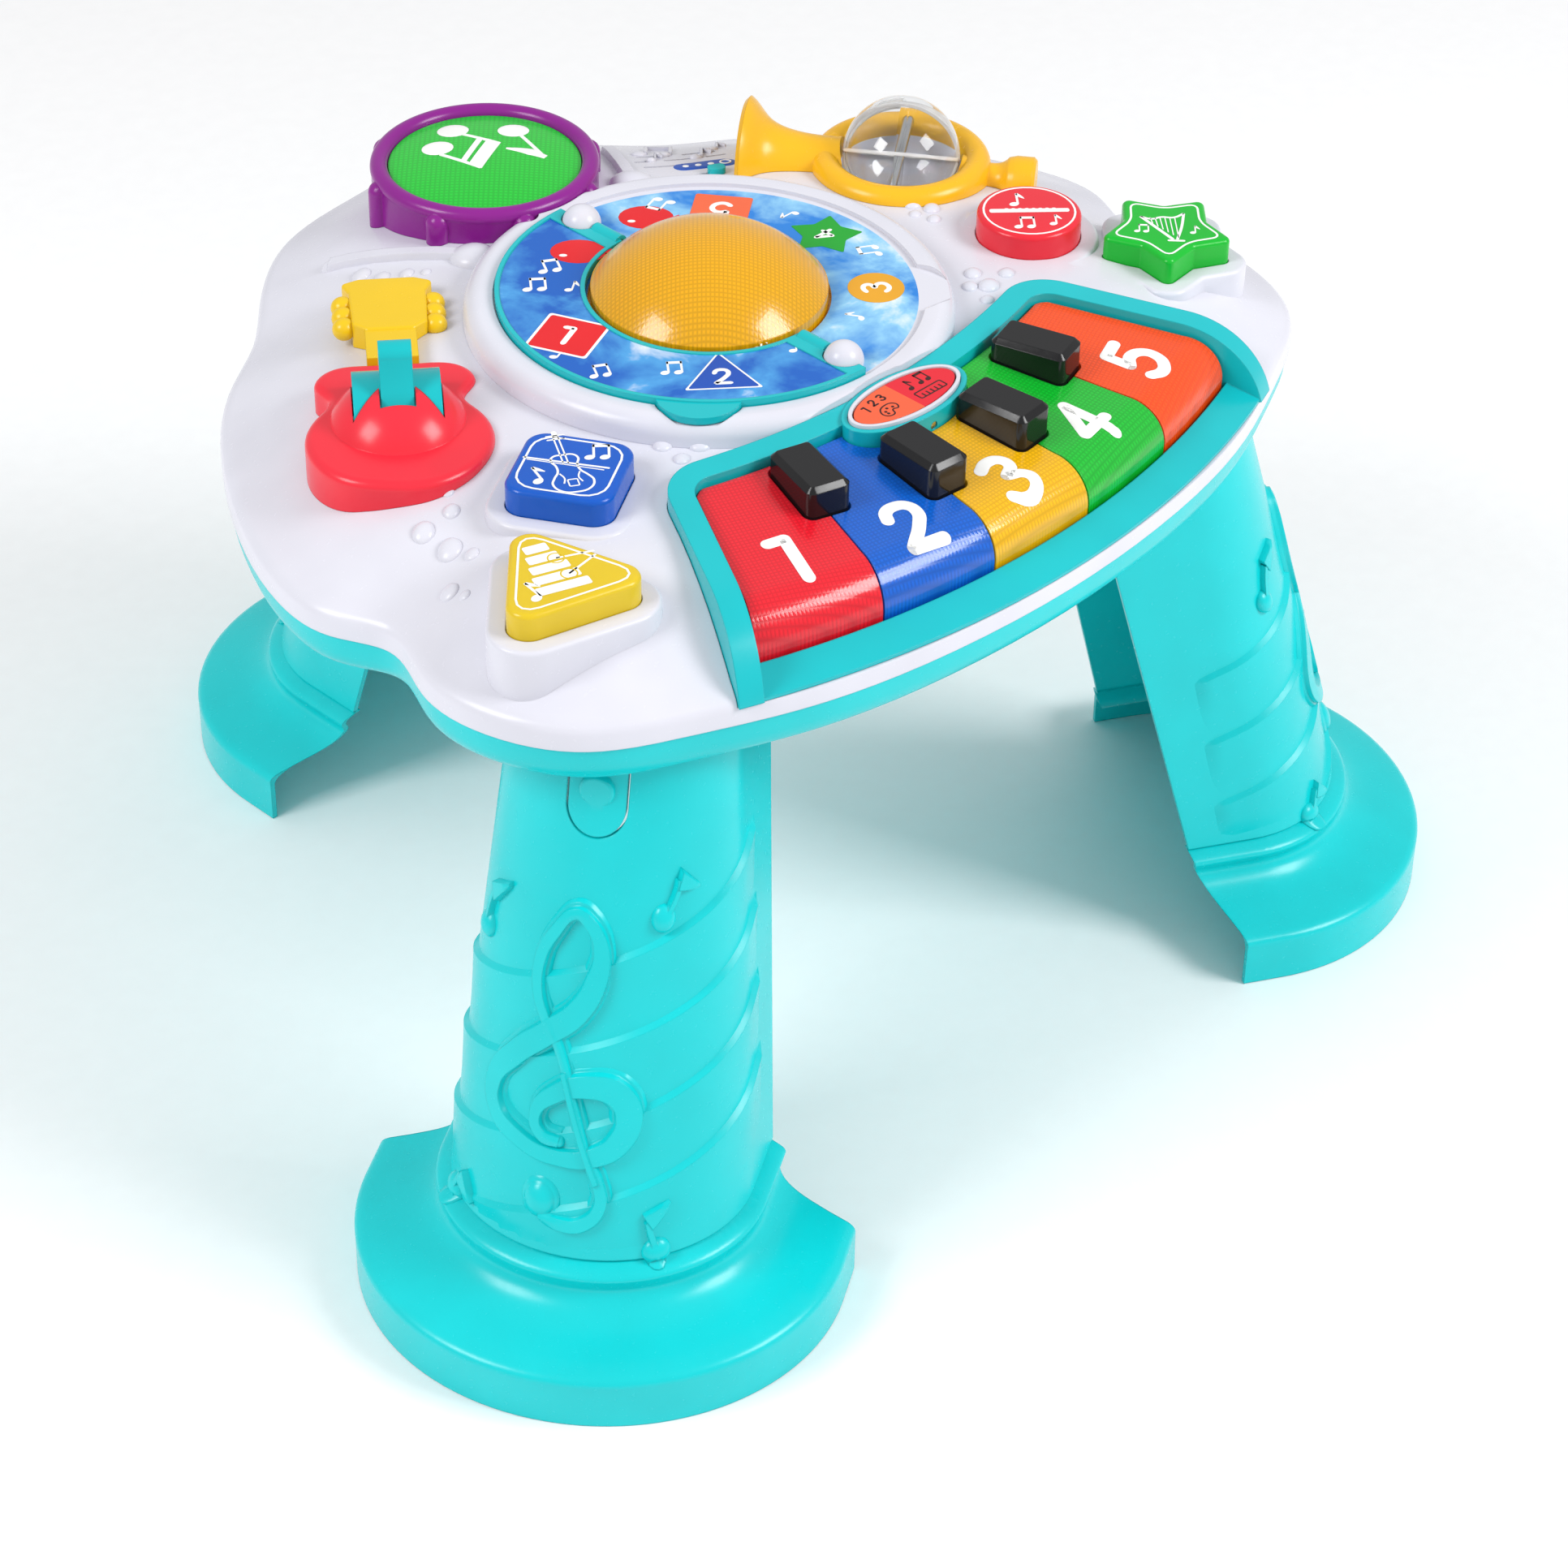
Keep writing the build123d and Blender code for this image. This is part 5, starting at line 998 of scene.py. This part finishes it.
CLEF_WIDTH = 8.6
LONGEST_EDGE = 5.0
clef = bmesh.new()
line = [(turn * ARC, z) for turn, z, _ in CLEF]
for grow, height in CLEF_LAYERS:
    stroke(clef, line, CLEF_WIDTH, height, swell=[wide + grow / CLEF_WIDTH for *_, wide in CLEF])
    dot(clef, -12 * ARC, 83, (18 + grow, 18 + grow), height + 0.6)
    dot(clef, -5 * ARC, 114, (7 + grow, 7 + grow), height)
stroke(clef, [(-5 * ARC, 148), (6 * ARC, 111), (11 * ARC, 97)], 3.6, 5.6)
LEG_NOTES = [
    ((-60, 192), (-57, 206), (-55, 211), (-44, 220)), ((36, 219), (42, 231), (43, 236), (53, 231)),
    ((-60, 58), (-56, 66), (-54, 70), (-45, 62)), ((36, 60), (33, 71), (32, 76), (41, 84)),
]
for head, neck, leaf, tip in LEG_NOTES:
    dot(clef, head[0] * ARC, head[1], (15, 13), 4.2)
    stroke(clef, [(turn * ARC, z) for turn, z in (head, neck, leaf)], 3.6, 3.0)
    stroke(clef, [(turn * ARC, z) for turn, z in (leaf, tip)], 6.0, 3.4, swell=(1.7, 0.4))
for _ in range(2):
    long_edges = [edge for edge in clef.edges if edge.calc_length() > LONGEST_EDGE]
    bmesh.ops.subdivide_edges(clef, edges=long_edges, cuts=1)
wrap_on_leg(clef)

for side, angle in LEG_ANGLES.items():
    swing = Matrix.Translation((0, FOOTPRINT_SHIFT, 0))
    swing @= Matrix.Rotation(math.radians(angle - LEG_ANGLES["front_left"]), 4, "Z")
    swing @= Matrix.Translation((0, -FOOTPRINT_SHIFT, 0))
    for name, drawing in (("steps", ribbon), ("clef", clef)):
        finish_drawing(drawing.copy(), f"leg_{name}_{side}", teal_abs, "table", swing)
ribbon.free()
clef.free()
print("leg reliefs: 2 on each of 3 legs")

# %% [markdown]
# ## Floor, light and camera
# The toy stands on a plain pale floor under soft studio light: an even surround, one large soft lamp on the
# right and a weaker one on the left to open the shadows. The camera looks down at the table's corner with a
# long lens, so that the legs hardly converge.

# %% Floor and light
FLOOR_HALF, FLOOR_DROP = 6.0, 0.0004
SURROUND_STRENGTH = 0.6
sweep = bmesh.new()
bmesh.ops.create_grid(sweep, x_segments=1, y_segments=1, size=FLOOR_HALF)
floor_mesh = bpy.data.meshes.new("floor")
sweep.to_mesh(floor_mesh)
sweep.free()
paper = bpy.data.materials.new("paper_studio_white")
paper.use_nodes = True
paper.node_tree.nodes.clear()
grain = add_node(paper, "ShaderNodeTexNoise", {"Scale": 900.0})
tone = add_node(paper, "ShaderNodeValToRGB", {"Fac": grain.outputs["Fac"]})
ramp_colours(tone, [(0.3, "#FBFBFC"), (0.7, "#FDFDFE")])
matt = add_node(paper, "ShaderNodeBsdfDiffuse", {"Color": tone.outputs["Color"]})
add_node(paper, "ShaderNodeOutputMaterial", {"Surface": matt.outputs["BSDF"]})
floor_mesh.materials.append(paper)
floor = bpy.data.objects.new("floor", floor_mesh)
floor.location.z = -FLOOR_DROP
bpy.context.scene.collection.objects.link(floor)

surround = bpy.data.worlds.new("studio")
bpy.context.scene.world = surround
surround.use_nodes = True
glow = surround.node_tree.nodes["Background"]
glow.inputs["Color"].default_value = (1, 1, 1, 1)
glow.inputs["Strength"].default_value = SURROUND_STRENGTH


def soft_lamp(name, place, target, size, power):
    """A large square soft light, aimed at a point, in metres."""
    light = bpy.data.lights.new(name, "AREA")
    light.size, light.energy = size, power
    lamp = bpy.data.objects.new(name, light)
    lamp.location = place
    lamp.rotation_euler = (Vector(target) - Vector(place)).to_track_quat("-Z", "Y").to_euler()
    bpy.context.scene.collection.objects.link(lamp)


TOY_MIDDLE = (0, 0, 0.25)
soft_lamp("key_light", (0.9, -1.9, 1.9), TOY_MIDDLE, 1.0, 40)
soft_lamp("fill_light", (-2.0, 0.5, 2.0), TOY_MIDDLE, 1.0, 32)
bpy.context.scene.view_settings.view_transform = "Standard"
print("lights: 2 and an even surround")

# %% Camera
CAMERA_AT = (-1.1985, -1.2252, 1.3868)
CAMERA_AZIMUTH, CAMERA_ELEVATION, CAMERA_ROLL = 43.4, -37.836, 1.033
SENSOR_MM, LENS_MM = 36.0, 95.48
eye = bpy.data.cameras.new("camera")
eye.sensor_width, eye.lens = SENSOR_MM, LENS_MM
camera = bpy.data.objects.new("camera", eye)
azimuth, elevation = math.radians(CAMERA_AZIMUTH), math.radians(CAMERA_ELEVATION)
level = math.cos(elevation)
aim = Vector((level * math.cos(azimuth), level * math.sin(azimuth), math.sin(elevation)))
turn = aim.to_track_quat("-Z", "Y").to_matrix().to_4x4()
turn @= Matrix.Rotation(math.radians(CAMERA_ROLL), 4, "Z")
camera.matrix_world = Matrix.Translation(CAMERA_AT) @ turn
bpy.context.scene.collection.objects.link(camera)
bpy.context.scene.camera = camera
print("camera aims along", [round(v, 3) for v in aim])
